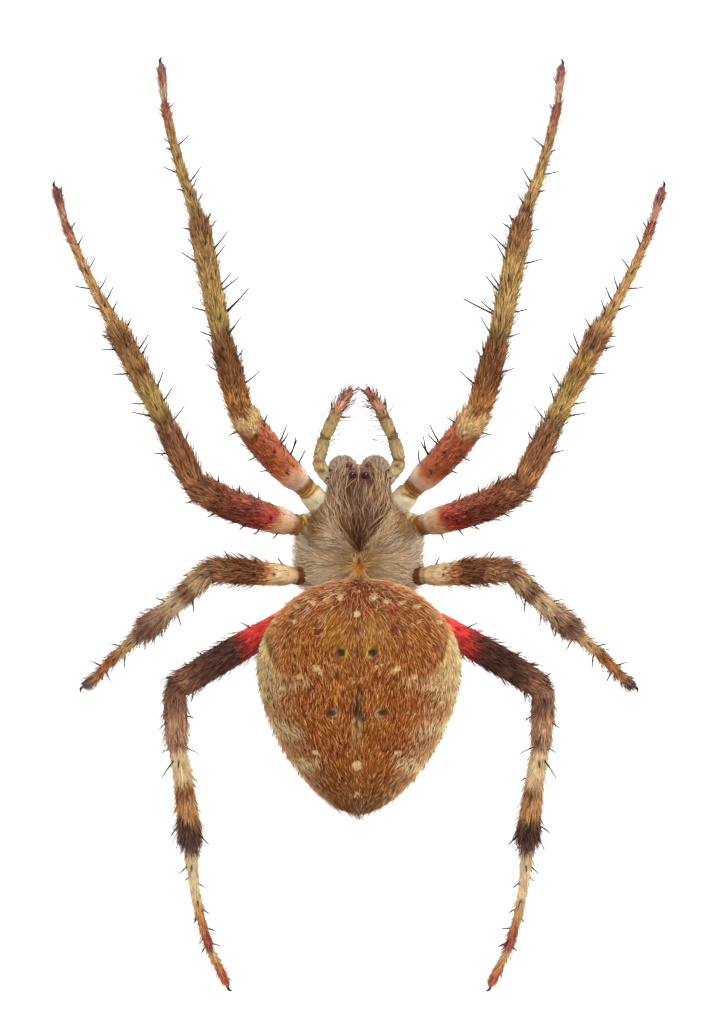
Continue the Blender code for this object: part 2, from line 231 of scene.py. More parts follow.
def makeMaterials():
    made = {}
    # Living cuticle, hardened over a soft layer: satin, with light sinking in a little.
    tree, shader, made["satinCuticle"] = newMaterial("satinCuticle", {
        "Roughness": 0.48, "IOR": 1.56, "Specular IOR Level": 0.10, "Subsurface Weight": 0.12,
        "Subsurface Scale": 0.05 * mm,
        "Subsurface Radius": (1.0, 0.5, 0.3)})
    place = shadeVariation(tree, shader, 0.22, 0.24)
    # Socket pits of about 0.02 mm are drawn at 0.06 mm, the finest that shows.
    pits = addNode(tree, "ShaderNodeTexVoronoi", {"Scale": 1 / (0.06 * mm)}, {"Vector": (place, "Object")})
    addBump(tree, shader, (pits, "Distance"), 0.02, 0.35)

    # Setae, thin hollow hairs of untanned chitin: soft gloss, with their colour from the coat's markings.
    tree, shader, made["chitinSetae"] = newMaterial("chitinSetae", {
        "Roughness": 0.45, "IOR": 1.54, "Specular IOR Level": 0.07})
    shadeVariation(tree, shader, 0.15, 0.10)

    # Spines and claws, chitin tanned almost black: smooth, with a thin bright line of gloss.
    tree, shader, made["tannedChitin"] = newMaterial("tannedChitin", {
        "Roughness": 0.34, "IOR": 1.56, "Specular IOR Level": 0.14})
    shadeVariation(tree, shader, 0.30, 0.12)

    # Fangs, the hardest chitin: wet-looking, dark red where it thins to the point.
    tree, shader, made["polishedSclerotin"] = newMaterial("polishedSclerotin", {
        "Roughness": 0.16, "IOR": 1.58, "Coat Weight": 0.4, "Coat Roughness": 0.08})
    shadeVariation(tree, shader, 0.25, 0.15)

    # Lenses of the simple eyes: clear domed cuticle over black, with a small bright highlight.
    tree, shader, made["clearLens"] = newMaterial("clearLens", {
        "Roughness": 0.10, "IOR": 1.55, "Specular IOR Level": 0.35})
    shadeVariation(tree, shader, 0.20, 0.10)

    # Matte card for the floor: no gloss, and a faint tooth.
    tree, shader, made["matteCard"] = newMaterial("matteCard", {
        "Base Color": (*linear(studio["floorColour"]), 1), "Roughness": 0.95, "Specular IOR Level": 0.1,
        # lit from beneath, as a light table
        "Emission Color": (1, 1, 1, 1), "Emission Strength": studio["floorGlow"]})
    place = addNode(tree, "ShaderNodeTexCoord")
    tooth = addNode(tree, "ShaderNodeTexNoise", {"Scale": 1 / (0.4 * mm), "Detail": 3.0},
                    {"Vector": (place, "Object")})
    addBump(tree, shader, (tooth, "Fac"), 0.01, 0.15)
    return made


materials = makeMaterials()


carapace = {
    "headHalfWidth": 0.80, "neck": (-0.75, 0.35), "rimHeight": 1.30, "thoraxHeight": 1.78,
    "crestFall": (-0.20, 0.95), "mouth": (-1.35, -0.65), "widestShare": 0.42,
    "outlinePowers": (5.0, 4.0), "crestPowers": (3.2, 2.2), "sternumPowers": (2.4, 2.4),
    "coat": 0.05,
    "grooveStart": (0.80, -0.42), "grooveEnd": (0.12, 0.62), "grooveDepth": 0.075, "grooveWidth": 0.10,
    "foveaY": 0.80, "foveaDepth": 0.10, "furrowDepth": 0.022,
    "eyeMound": 0.045, "rows": 120, "columns": 150,
}
carapaceLow, carapaceHigh = corners("cephalothorax")
headFront = -1.40  # the head's front on the body's own scale, whose zero is behind the eyes
zeroY = carapaceLow[1] - headFront
shift = np.array(((carapaceLow[0] + carapaceHigh[0]) / 2, zeroY, 0.0))
thoraxRear = carapaceHigh[1] - zeroY
thoraxHalfWidth = (carapaceHigh[0] - carapaceLow[0]) / 2
headHeight, sternumHeight = carapaceHigh[2], carapaceLow[2]


def roundedEnds(share, widest, powers):
    ahead = share < widest
    away = np.where(ahead, (widest - share) / widest, (share - widest) / (1 - widest))
    power = np.where(ahead, powers[0], powers[1])
    return np.maximum(1 - np.abs(away) ** power, 0) ** (1 / power)


def eyePlaces():  # middle, radius and top of each eye on the body's own scale
    places = {}
    for pair in eyeNames:
        low, high = corners(pair + "_left")
        radius = (high[0] - low[0]) / 2
        places[pair] = (low[0] + radius - shift[0], (low[1] + high[1]) / 2 - shift[1], radius, high[2])
    return places


eyes = eyePlaces()


def carapaceRelief(x, y):  # height added to the top: grooves, the pit between them and the mounds of the eyes
    aside = np.abs(x)
    start, end = np.array(carapace["grooveStart"]), np.array(carapace["grooveEnd"])
    run = end - start
    share = np.clip(((aside - start[0]) * run[0] + (y - start[1]) * run[1]) / (run @ run), 0, 1)
    away = np.hypot(aside - start[0] - share * run[0], y - start[1] - share * run[1])
    relief = -carapace["grooveDepth"] * np.exp(-(away / carapace["grooveWidth"]) ** 2)
    relief -= carapace["foveaDepth"] * np.exp(-(x / 0.07) ** 2 - ((y - carapace["foveaY"]) / 0.26) ** 2)
    turn = np.arctan2(aside, y - carapace["foveaY"])
    out = np.hypot(aside, y - carapace["foveaY"])
    relief -= carapace["furrowDepth"] * np.cos(turn * 7.0) * smooth(0.25, 0.6, out) * smooth(-0.3, 0.2, y)
    for eyeX, eyeY, radius, _top in eyes.values():
        relief += (carapace["eyeMound"]
                   * np.exp(-((aside - eyeX) ** 2 + (y - eyeY) ** 2) / (1.9 * radius) ** 2))
    return relief


def placeCarapace(v, u):
    share = (1 - np.cos(math.pi * v)) / 2
    coat = carapace["coat"]
    front, rear = headFront + coat, thoraxRear - coat
    y = front + (rear - front) * share
    halfWidth = (carapace["headHalfWidth"] + (thoraxHalfWidth - carapace["headHalfWidth"])
                 * smooth(*carapace["neck"], y))
    crest = (headHeight + (carapace["thoraxHeight"] - headHeight) * smooth(*carapace["crestFall"], y)
             - carapace["rimHeight"])
    depth = (carapace["rimHeight"] - sternumHeight) * smooth(*carapace["mouth"], y)
    wide = (halfWidth - coat) * roundedEnds(share, carapace["widestShare"], carapace["outlinePowers"])
    high = (crest - coat) * roundedEnds(share, carapace["widestShare"], carapace["crestPowers"])
    deep = (np.maximum(depth - coat, 0) * roundedEnds(share, carapace["widestShare"],
                                                      carapace["sternumPowers"]) + 0.01)
    angle = 2 * math.pi * u
    x, up = np.sin(angle) * wide, np.cos(angle)
    relief = carapaceRelief(x, y) * smooth(0.0, 0.5, up) * smooth(0, 0.06, share) * smooth(1, 0.94, share)
    z = carapace["rimHeight"] + up * np.where(up > 0, high, deep) + relief
    return np.stack((x, y, z), axis=1)


def headEdge(y):  # half width of the raised head, which narrows back to the pit
    return np.interp(y, (-1.5, -0.35, 0.18, 0.64), (0.90, 0.76, 0.42, 0.03))


def headShare(x, y):  # 1 on the head and 0 on the thorax
    return smooth(0.05, -0.05, np.abs(x) - headEdge(y)) * smooth(0.74, 0.60, y)


def headBand(x, y):  # the dark band along the head's middle
    return spot(x, 0, (0.03, 0), (0.135, 1), 0.35) * smooth(-1.0, -0.7, y) * smooth(0.68, 0.58, y)


def paintCarapace(v, u, place):
    x, y, z = place.T
    aside = np.abs(x)
    colour = plain("b08a60", len(x))
    colour = painted(colour, (
        ("b88a4c", 0.7 * smooth(0.35, 0.9, y) * smooth(1.1, 0.2, aside)),
        ("7c5028", 0.95 * spot(aside, y, (0.98, -0.02), (0.15, 0.40), 0.6)),
        ("4e3018", 0.85 * blob(aside, y, (1.06, 0.44), 0.10)),
        ("c8b898", 0.85 * smooth(1.13, 1.26, aside) * smooth(0.9, 0.2, y)),
        ("dcc8a0", 0.7 * blob(aside, y, (0.85, 1.10), 0.16)),
    ))
    spoke = np.arctan2(aside, y - carapace["foveaY"])
    colour = mixed(colour, linear("7a5426"),
                   0.35 * smooth(0.2, 0.9, np.cos(spoke * 9)) * smooth(0.2, 0.5, np.hypot(aside, y - 0.8)))
    head = headShare(x, y)
    chestnut = mixed(plain("4e2a1a", len(x)), linear("6c4028"), smooth(-0.2, 0.8, ripple(place, 0.4, 15)))
    chestnut = painted(chestnut, (
        ("78523a", 0.55 * smooth(-0.3, 0.3, y)),
        ("4c281a", 0.85 * headBand(x, y)),
        ("4a2a1a", 0.8 * blob(aside, 0, (0.78, 0), 0.06) * smooth(-0.2, -0.6, y)),
    ))
    colour = mixed(colour, chestnut, head)
    colour = painted(colour, (
        ("98560f", 0.95 * spot(x, y, (0, 0.98), (0.11, 0.19), 0.6)),
        ("3a200c", 0.95 * spot(x, y, (0, 0.83), (0.045, 0.085), 0.4)),
    ))
    for pair, (eyeX, eyeY, radius, _top) in eyes.items():
        around = "3a1612" if pair == "eye_rear_median" else "702a1c"
        colour = mixed(colour, linear(around),
                       0.95 * spot(aside, y, (eyeX, eyeY), (radius * 1.7, radius * 1.7), 0.35))
    under = smooth(0.0, -0.12, z - carapace["rimHeight"])
    belly = plain("4a2f1c", len(x))
    belly = mixed(belly, linear("8a6a3a"), blob(x, y * 0.5, (0, 0.12), 0.20))
    return mixed(colour, belly, under)


abdomen = {
    "axisFront": 2.85, "axisDrop": 0.95, "widestShare": 0.37, "deepestShare": 0.42,
    "outlinePowers": (2.0, 1.65), "crestPowers": (2.0, 2.0), "coat": 0.06,
    "rows": 190, "columns": 250, "patternAside": 0.05,  # the markings' middle line is a little off the body's
    # pits over the muscles: aside, along, half width, half length, depth
    "pits": ((0.352, 2.90, 0.100, 0.100, 0.060), (0.570, 4.27, 0.108, 0.068, 0.045),
             (0.84, 2.41, 0.08, 0.08, 0.015)),
    # low knobs and lobes: aside, along, radius, height
    "knobs": ((0.0, 5.48, 0.09, 0.040), (0.0, 6.14, 0.05, 0.03), (1.85, 2.75, 0.32, 0.040),
              (0.90, 3.27, 0.10, 0.015)),
    "foldHeight": 0.010,
    # tufts of cream setae: aside, along, half width, half length
    "creamTufts": ((0.37, 1.65, 0.065, 0.075), (0.67, 1.74, 0.085, 0.045), (0.98, 1.79, 0.055, 0.045),
                   (1.34, 1.87, 0.070, 0.040), (0.02, 2.02, 0.045, 0.060), (1.86, 2.22, 0.060, 0.035),
                   (1.40, 2.20, 0.035, 0.035), (0.92, 3.25, 0.070, 0.060), (0.81, 3.33, 0.050, 0.045),
                   (1.31, 3.44, 0.060, 0.050), (1.72, 3.72, 0.040, 0.040), (0.0, 5.48, 0.100, 0.095),
                   (0.0, 6.14, 0.050, 0.045), (0.95, 5.18, 0.080, 0.030), (1.26, 5.36, 0.075, 0.030),
                   (1.95, 4.05, 0.045, 0.045)),
    # darker spots: aside, along, half width, half length, colour
    "darkSpots": ((0.84, 2.41, 0.12, 0.10, "5c1c14"), (0.41, 2.53, 0.07, 0.07, "70400e"),
                  (0.47, 3.44, 0.075, 0.05, "5e260c"), (0.91, 3.47, 0.08, 0.05, "54220c"),
                  (1.57, 2.35, 0.09, 0.06, "642c14"), (0.75, 1.99, 0.06, 0.06, "5a1c12"),
                  (1.44, 2.09, 0.07, 0.05, "5e2414"), (0.82, 1.86, 0.10, 0.05, "9c3426"),
                  (0.30, 3.82, 0.05, 0.09, "50240e"), (1.20, 4.30, 0.07, 0.06, "5a280e"),
                  (1.00, 5.30, 0.12, 0.04, "4c210c"), (0.62, 5.15, 0.10, 0.03, "4c210c")),
    "flecks": 40, "fleckSize": (0.018, 0.032), "shade": 0.72, "dots": 150, "dotSize": (0.030, 0.060),
}
abdomenLow, abdomenHigh = corners("abdomen")
abdomenFront, abdomenRear = abdomenLow[1] - zeroY, abdomenHigh[1] - zeroY
abdomenHalfWidth = (abdomenHigh[0] - abdomenLow[0]) / 2
abdomenHalfHeight = 1.85


def patternSide(x):  # distance from the markings' middle line
    return np.abs(x - abdomen["patternAside"])


def placeAbdomen(v, u):
    share = (1 - np.cos(math.pi * v)) / 2
    coat = abdomen["coat"]
    y = abdomenFront + coat + (abdomenRear - abdomenFront - 2 * coat) * share
    wide = (abdomenHalfWidth - coat) * roundedEnds(share, abdomen["widestShare"], abdomen["outlinePowers"])
    high = (abdomenHalfHeight - coat) * roundedEnds(share, abdomen["deepestShare"], abdomen["crestPowers"])
    angle = 2 * math.pi * u
    x, up = np.sin(angle) * wide, np.cos(angle)
    aside = patternSide(x)
    relief = np.zeros(len(x))
    for pitX, pitY, halfWidth, halfLength, depth in abdomen["pits"]:
        relief -= depth * spot(aside, y, (pitX, pitY), (halfWidth, halfLength), 0.6)
        relief += 0.25 * depth * blob(aside, y, (pitX, pitY), halfWidth * 2.2)
    for knobX, knobY, radius, height in abdomen["knobs"]:
        relief += height * blob(aside, y, (knobX, knobY), radius)
    relief += abdomen["foldHeight"] * np.sin((y + 0.35 * aside) * 2 * math.pi / 0.42) * smooth(4.2, 5.2, y)
    relief -= 0.022 * blob(x, 0, (0, 0), 0.07) * smooth(3.0, 3.6, y) * smooth(6.0, 5.0, y)
    relief *= smooth(0.0, 0.3, up)
    lungs = blob(aside, y, (0.80, 2.15), 0.32) * smooth(0, -0.3, up)
    scape = blob(x, y, (0.0, 2.30), 0.12) * smooth(0, -0.3, up)
    swell = relief + 0.05 * lungs + 0.05 * scape
    z = abdomen["axisFront"] - abdomen["axisDrop"] * share + up * high
    z += np.where(up > 0, 1, -1) * swell
    return np.stack((x, y, z), axis=1)


def scatteredSpots(count, sizes, seed):  # seeded places of small spots: aside, along, radius
    draw = np.random.default_rng(seed)
    aside, along = draw.uniform(0.05, 2.2, count), draw.uniform(1.3, 6.3, count)
    return aside, along, draw.uniform(*sizes, count)


fleckPlaces = scatteredSpots(abdomen["flecks"], abdomen["fleckSize"], 201)
dotPlaces = scatteredSpots(abdomen["dots"], abdomen["dotSize"], 202)


def sprinkled(places, aside, y):  # 1 inside any of the scattered spots
    total = np.zeros(len(y))
    for spotX, spotY, radius in zip(*places):
        total = np.maximum(total, spot(aside, y, (spotX, spotY), (radius, radius), 0.5))
    return total


def creamTufts(aside, y):
    total = np.zeros(len(y))
    for spotX, spotY, halfWidth, halfLength in abdomen["creamTufts"]:
        total = np.maximum(total, spot(aside, y, (spotX, spotY), (halfWidth, halfLength), 0.30))
    return total


def shoulderPale(aside, y):  # the pale flank outside the olive crescent
    edge = np.interp(y, (1.6, 2.1, 2.5, 2.9, 3.15, 3.3, 3.45, 3.7, 4.1, 4.6),
                     (2.2, 2.14, 2.07, 2.00, 1.90, 1.72, 1.45, 1.58, 1.80, 1.85))
    return (smooth(-0.02, 0.06 + 0.30 * smooth(3.1, 3.5, y), aside - edge) * smooth(1.9, 2.3, y)
            * smooth(4.3, 3.4, y))


def darkLine(x, y):  # the broad broken dark line down the middle
    middle = x - abdomen["patternAside"]
    line = (blob(middle + 0.03 * np.sin(y * 9), 0, (0, 0), 0.075) + 0.8 * blob(middle, 0, (-0.14, 0), 0.04)
            * smooth(3.4, 3.8, y))
    return (np.clip(line, 0, 1) * (0.35 + 0.65 * smooth(3.5, 3.8, y)) * smooth(2.9, 3.3, y)
            * smooth(4.62, 4.42, y))


def medianPale(x, y):  # two short cream streaks behind it
    away = np.abs(x - abdomen["patternAside"])
    return (blob(away, 0, (0.06, 0), 0.035) * smooth(4.30, 4.42, y) * smooth(5.05, 4.90, y)
            * (0.7 + 0.3 * np.sin(y * 31 + x * 20)))


def paleBands(aside, y):  # slanting bands of paler setae over the rear flanks
    upper = np.exp(-((y - 4.62 + 0.20 * (aside - 1.6)) / 0.16) ** 2) * smooth(1.15, 1.45, aside)
    lower = np.exp(-((y - 5.40 + 0.25 * (1.1 - aside)) / 0.13) ** 2) * smooth(0.75, 0.95, aside)
    middle = np.exp(-((y - 3.55 - 0.30 * (aside - 1.3)) / 0.13) ** 2) * smooth(0.95, 1.15, aside)
    return np.clip(0.85 * upper + lower + 0.5 * middle, 0, 1)


def paintAbdomen(v, u, place):
    x, y, _z = place.T
    aside, middle = patternSide(x), x - abdomen["patternAside"]
    up = np.cos(2 * math.pi * u)
    colour = stops(("1.2 702a10", "1.9 78300c", "2.6 823e08", "3.6 803805", "5.0 783404", "5.7 683006",
                    "6.7 562806"), y)
    colour = painted(colour, (
        ("b4641a", 0.45 * smooth(0.1, 0.9, ripple(place, 0.55, 11))),
        ("62280c", 0.55 * smooth(0.1, 0.8, ripple(place, 0.38, 12))),
    ))
    colour = colour * abdomen["shade"]
    colour = painted(colour, (
        ("906010", 0.85 * blob(aside, y, (0.42, 2.45), 0.23)),
        ("8a5e1e", 0.55 * blob(aside, y, (0.60, 4.50), 0.16)),
        ("c49c5c", 0.85 * shoulderPale(aside, y) * (1 - 0.55 * smooth(3.3, 3.7, y))),
        ("a87c44", 0.45 * paleBands(aside, y)),
    ))
    crescent = np.abs(aside - np.interp(y, (2.4, 2.75, 3.15), (2.05, 2.00, 1.92))) / 0.045
    colour = painted(colour, (
        ("4a4a0e", 0.95 * np.exp(-crescent ** 2) * smooth(2.40, 2.60, y) * smooth(3.20, 3.02, y)),
        ("4a200c", 0.75 * sprinkled(dotPlaces, aside, y)),
    ))
    for spotX, spotY, halfWidth, halfLength, code in abdomen["darkSpots"]:
        colour = mixed(colour, linear(code),
                       0.9 * spot(aside, y, (spotX, spotY), (halfWidth, halfLength), 0.5))
    colour = painted(colour, (
        ("20130e", 0.92 * darkLine(x, y)),
        ("c8a868", 0.55 * medianPale(x, y)),
        ("2c1a10", 0.8 * blob(middle, 0, (0, 0), 0.028) * smooth(4.4, 4.5, y) * smooth(5.5, 5.0, y)),
        ("46281a", 0.5 * blob(middle, 0, (0, 0), 0.10) * smooth(1.9, 2.3, y) * smooth(3.1, 2.8, y)),
    ))
    for pitX, pitY, halfWidth, halfLength, _depth in abdomen["pits"][:2]:
        rim = (spot(aside, y, (pitX - 0.045, pitY), (halfWidth * 1.25, halfLength * 1.5), 0.4)
               * smooth(-0.05, 0.05, pitX - aside))
        colour = mixed(colour, linear("c0983c" if pitY < 4 else "b08c60"), 0.75 * rim)
        colour = mixed(colour, linear("20140f" if pitY < 4 else "3a261a"),
                       0.97 * spot(aside, y, (pitX, pitY), (halfWidth, halfLength), 0.2))
    cream = np.maximum(creamTufts(aside, y), 0.8 * sprinkled(fleckPlaces, aside, y))
    colour = mixed(colour, linear("f4d092"), cream)
    under = smooth(0.02, -0.35, up)
    belly = mixed(plain("8b6238", len(x)), linear("33201a"), smooth(1.15, 0.75, np.abs(x)))
    belly = painted(belly, (
        ("dcc484", 0.9 * blob(np.abs(x), y * 0.5, (0.78, 1.62), 0.16)),
        ("a4713a", 0.9 * blob(np.abs(x), y, (0.80, 2.15), 0.26)),
        ("2a1510", blob(x, y, (0.0, 2.30), 0.13)),
    ))
    return mixed(colour, belly, under)


def smoothedPath(points, stations, spacing, softness):  # evenly spaced points along a softened path
    points, stations = np.array(points), np.array(stations)
    lengths = np.concatenate(([0], np.cumsum(np.linalg.norm(np.diff(points, axis=0), axis=1))))
    fine = np.linspace(0, lengths[-1], int(lengths[-1] / spacing) + 1)
    path = np.stack([np.interp(fine, lengths, points[:, i]) for i in range(3)], axis=1)
    reach = int(3 * softness / spacing)
    kernel = np.exp(-(np.arange(-reach, reach + 1) * spacing / softness) ** 2 / 2)
    padded = np.vstack((2 * path[0] - path[reach:0:-1], path, 2 * path[-1] - path[-2:-reach - 2:-1]))
    path = np.stack([np.convolve(padded[:, i], kernel / kernel.sum(), "valid") for i in range(3)], axis=1)
    return path, np.interp(fine, lengths, stations)


def limb(points, stations, radius, side, softness=0.10):
    path, station = smoothedPath(points, stations, 0.02, softness)
    run = unit(np.gradient(path, axis=0))
    front = unit(np.cross(run, upwards)) * side
    top = unit(np.cross(front, run)) * side
    made = {"path": path, "station": station, "run": run, "front": front, "top": top, "side": side}
    made["radius"] = radius(station)
    made["share"] = np.linspace(0, 1, len(path))
    return made


def profiled(profile, girth=1.0):  # radius along a limb, from pairs of station and share of the girth
    places, radii = np.array(profile).T
    return lambda station: np.interp(station, places, radii * girth)


def placeLimb(made, v, u):
    def at(values):
        return np.stack([np.interp(v, made["share"], values[:, i]) for i in range(3)], axis=1)
    angle = (2 * math.pi * u)[:, None]
    radius = np.interp(v, made["share"], made["radius"])[:, None]
    return at(made["path"]) + (at(made["top"]) * np.cos(angle) + at(made["front"]) * np.sin(angle)) * radius


legShape = {
    # how a leg swells and narrows: station and share of its segment's own girth
    "profile": ((0.0, 0.9), (0.5, 1.0), (0.9, 0.97), (1.0, 0.84), (1.10, 0.97), (1.2, 0.90), (1.34, 1.0),
                (1.46, 0.92), (1.62, 1.02), (1.78, 0.93), (1.9, 0.97), (2.0, 0.80), (2.02, 0.72),
                (2.06, 0.88), (2.14, 1.0), (2.3, 1.0), (2.6, 1.02), (2.88, 0.95), (2.96, 0.88), (3.0, 0.76),
                (3.05, 0.94), (3.15, 1.0), (3.5, 1.03), (3.85, 0.93), (3.97, 0.88), (4.0, 0.76), (4.04, 0.94),
                (4.12, 1.0), (4.5, 1.03), (4.85, 1.05), (4.95, 0.98), (5.0, 0.62), (5.015, 0.92), (5.05, 1.0),
                (5.15, 0.88), (5.35, 0.74), (5.7, 0.64), (5.93, 0.66), (5.98, 0.64), (6.0, 0.50),
                (6.03, 0.78), (6.2, 0.88), (6.5, 1.0), (6.75, 0.92), (6.9, 0.74), (6.97, 0.52), (7.0, 0.25)),
    # radius of coxa, trochanter, femur, patella, tibia, metatarsus and tarsus
    "girths": {
        "leg_1": (0.29, 0.25, 0.335, 0.260, 0.215, 0.140, 0.088),
        "leg_2": (0.28, 0.24, 0.330, 0.258, 0.212, 0.134, 0.090),
        "leg_3": (0.25, 0.22, 0.255, 0.208, 0.172, 0.118, 0.094),
        "leg_4": (0.26, 0.23, 0.300, 0.235, 0.180, 0.136, 0.088),
    },
    "tibiaSwell": {"leg_1": 0.0, "leg_2": 0.04, "leg_3": 0.18, "leg_4": 0.22},
    "coxaLength": 0.85,
    "trochanter": (0.13, 0.17),  # its reach before and after the joint of coxa and femur
    "tipClearance": 0.03,  # height of the foot's tip over the floor, where the claws reach down
    "folds": ((1.02, 0.10, 0.10), (1.45, 0.22, 0.13), (1.80, -0.12, 0.11)),
    "rings": 280, "sides": 22,
}
# markings along each leg: station and colour, where 2.5 is halfway along the femur
legBands = {
    "leg_1": ("0 c8bc9c", "0.9 d0c4a4", "1.0 c8ae78", "1.5 c09450", "1.95 b88440", "2.02 8a5a2c",
              "2.08 c8a890", "2.17 c8977a", "2.27 ac6038", "2.36 984a2a", "2.55 9c4e2c", "2.77 984e2c",
              "2.82 e6be88", "2.96 e8ba82", "2.99 a06834", "3.0 6a4020", "3.06 a8703c", "3.16 9c6434",
              "3.35 7a4824", "3.6 704020", "3.9 7a4c28", "4.0 4e2e1a", "4.05 967a44", "4.2 a6864c",
              "4.6 a07e4a", "4.72 8c6438", "4.86 7c5430", "4.95 86603a", "5.0 4a2e1e", "5.04 987a4a",
              "5.3 a48450", "5.7 9c764a", "5.84 8c5440", "5.98 743e34", "6.03 c0a48d", "6.25 ab856d",
              "6.45 8d5954", "6.9 643a36", "7 3e201e"),
    "leg_2": ("0 c8b888", "0.9 d0c092", "1.0 c0a670", "1.5 b08444", "1.95 a06a34", "2.02 7a4a24",
              "2.08 c09470", "2.18 ba9068", "2.25 a04832", "2.32 8c2a27", "2.40 802620", "2.48 6c281c",
              "2.65 6c2c1e", "2.8 7a4026", "2.9 94603c", "3.0 683c24", "3.08 a46c44", "3.3 845434",
              "3.7 7c4c30", "3.9 8c6040", "4.0 4e2e1e", "4.05 967840", "4.2 a88a4e", "4.38 987440",
              "4.45 845430", "4.52 a47c3c", "4.64 8e623b", "4.80 7e5333", "4.90 a07848", "4.97 ac8050",
              "5.0 56361e", "5.04 b08858", "5.4 b48c5a", "5.8 a4744c", "5.9 8c4c3e", "5.98 743a32",
              "6.03 ac8468", "6.25 986456", "6.45 84504a", "6.9 6c403c", "7 4a2826"),
    "leg_3": ("0 b09a70", "0.9 a08a60", "1.0 7a5a38", "1.5 5a3c22", "1.95 4a2e1a", "2.05 ccac80",
              "2.28 d6b68c", "2.36 cc8044", "2.42 885030", "2.6 6c3c20", "2.72 804a28", "2.85 a47450",
              "2.97 84583c", "3.0 50301e", "3.1 af8663", "3.4 d5b187", "3.6 9a7053", "3.9 815b40",
              "4.0 d0b088", "4.05 f0d0a4", "4.22 ecc8a0", "4.34 c89a78", "4.5 c0987c", "4.62 885f48",
              "4.9 6c4a3c", "5.0 3c281c", "5.05 e8bc84", "5.25 e0ac74", "5.38 7a4e30", "5.5 b86c38",
              "5.7 c07a3e", "5.85 6c4430", "6.0 54342a", "6.06 cc9058", "6.18 bc7c4c", "6.28 5c4a4a",
              "6.85 4a4246", "7 342c2e"),
    "leg_4": ("0 a88a5c", "0.9 9a7a50", "1.0 7a4c30", "1.5 6a3a24", "1.95 5c2c1e", "2.05 e46c58",
              "2.2 e8423c", "2.36 dc3a38", "2.44 782a28", "2.52 3e1e1e", "2.75 44241e", "2.86 704638",
              "2.95 98684e", "3.0 482c24", "3.1 8c6048", "3.25 6c4636", "3.45 9c7058", "3.6 c09470",
              "3.80 bc9074", "3.9 8c6048", "3.97 5c3c30", "4.0 dcbc90", "4.04 f4d4a8", "4.30 f0d0a0",
              "4.37 9c6434", "4.43 8e5a34", "4.50 d09a68", "4.64 c08c58", "4.71 502a23", "4.80 3c1f1f",
              "4.90 3f2321", "4.95 906448", "5.0 563424", "5.03 ffe0b6", "5.4 ffdeb0", "5.6 cc945e",
              "5.80 b87448", "5.86 a04838", "5.97 843c32", "6.03 ccaa74", "6.3 b07c4c", "6.50 ac5a3a",
              "6.72 a04838", "6.84 5c3430", "6.88 342422", "7 2a1a18"),
}


# Spines, as the share of the segment's length and the spine's length. Front is the side of the leg before it.
legSpines = {
    "leg_1": {
        "femur": {"front": ((0.20, 0.40), (0.33, 0.58), (0.34, 0.42), (0.50, 0.40), (0.51, 0.50),
                            (0.80, 0.28)),
                  "rear": ((0.38, 0.22), (0.58, 0.26), (0.86, 0.33))},
        "patella": {"front": ((0.35, 0.50), (0.72, 0.25)), "rear": ((0.60, 0.37),)},
        "tibia": {"front": ((0.02, 0.50), (0.20, 0.80), (0.21, 0.42), (0.38, 0.50), (0.41, 0.42),
                            (0.63, 0.43), (0.71, 0.58), (0.88, 0.30), (0.95, 0.24)),
                  "rear": ((0.04, 0.32), (0.25, 0.41), (0.63, 0.47), (0.90, 0.22))},
        "metatarsus": {"front": ((0.11, 0.25), (0.24, 0.25), (0.29, 0.47), (0.62, 0.40), (0.95, 0.16)),
                       "rear": ((0.24, 0.20), (0.39, 0.40), (0.60, 0.15))},
    },
    "leg_2": {
        "femur": {"front": ((0.40, 0.17), (0.63, 0.30), (0.85, 0.20)),
                  "rear": ((0.15, 0.20), (0.31, 0.20), (0.45, 0.20), (0.69, 0.23), (0.96, 0.28))},
        "patella": {"front": ((0.70, 0.25),), "rear": ((0.63, 0.37),)},
        "tibia": {"front": ((0.02, 0.46), (0.20, 0.38), (0.33, 0.44), (0.64, 0.35), (0.70, 0.45),
                            (0.89, 0.29), (0.96, 0.20)),
                  "rear": ((0.13, 0.50), (0.27, 0.32), (0.55, 0.37), (0.78, 0.38), (0.91, 0.20))},
        "metatarsus": {"front": ((0.10, 0.30), (0.21, 0.42), (0.33, 0.35), (0.55, 0.36), (0.78, 0.25),
                                 (0.95, 0.20)),
                       "rear": ((0.16, 0.33), (0.38, 0.35))},
    },
    "leg_3": {
        "femur": {"front": ((0.17, 0.19), (0.50, 0.20), (0.80, 0.30)), "rear": ((0.70, 0.20),)},
        "patella": {"front": ((0.55, 0.15),), "rear": ((0.90, 0.35),)},
        "tibia": {"front": ((0.30, 0.29), (0.80, 0.15)), "rear": ((0.30, 0.35), (0.70, 0.23))},
        "metatarsus": {"front": ((0.30, 0.30), (0.85, 0.35)), "rear": ((0.03, 0.35), (0.35, 0.37),
                                                                       (0.90, 0.26))},
    },
    "leg_4": {
        "femur": {"front": ((0.33, 0.31), (0.72, 0.23), (0.85, 0.18), (0.97, 0.20)), "rear": ((0.90, 0.30),)},
        "patella": {"front": ((0.60, 0.26),), "rear": ((0.50, 0.20),)},
        "tibia": {"front": ((0.02, 0.26), (0.12, 0.50), (0.77, 0.35)), "rear": ((0.02, 0.38), (0.33, 0.20),
                                                                                (0.85, 0.40))},
        "metatarsus": {"front": ((0.17, 0.30), (0.28, 0.15), (0.68, 0.12), (0.97, 0.15)),
                       "rear": ((0.34, 0.20), (0.60, 0.20), (0.80, 0.22), (0.95, 0.23))},
    },
}
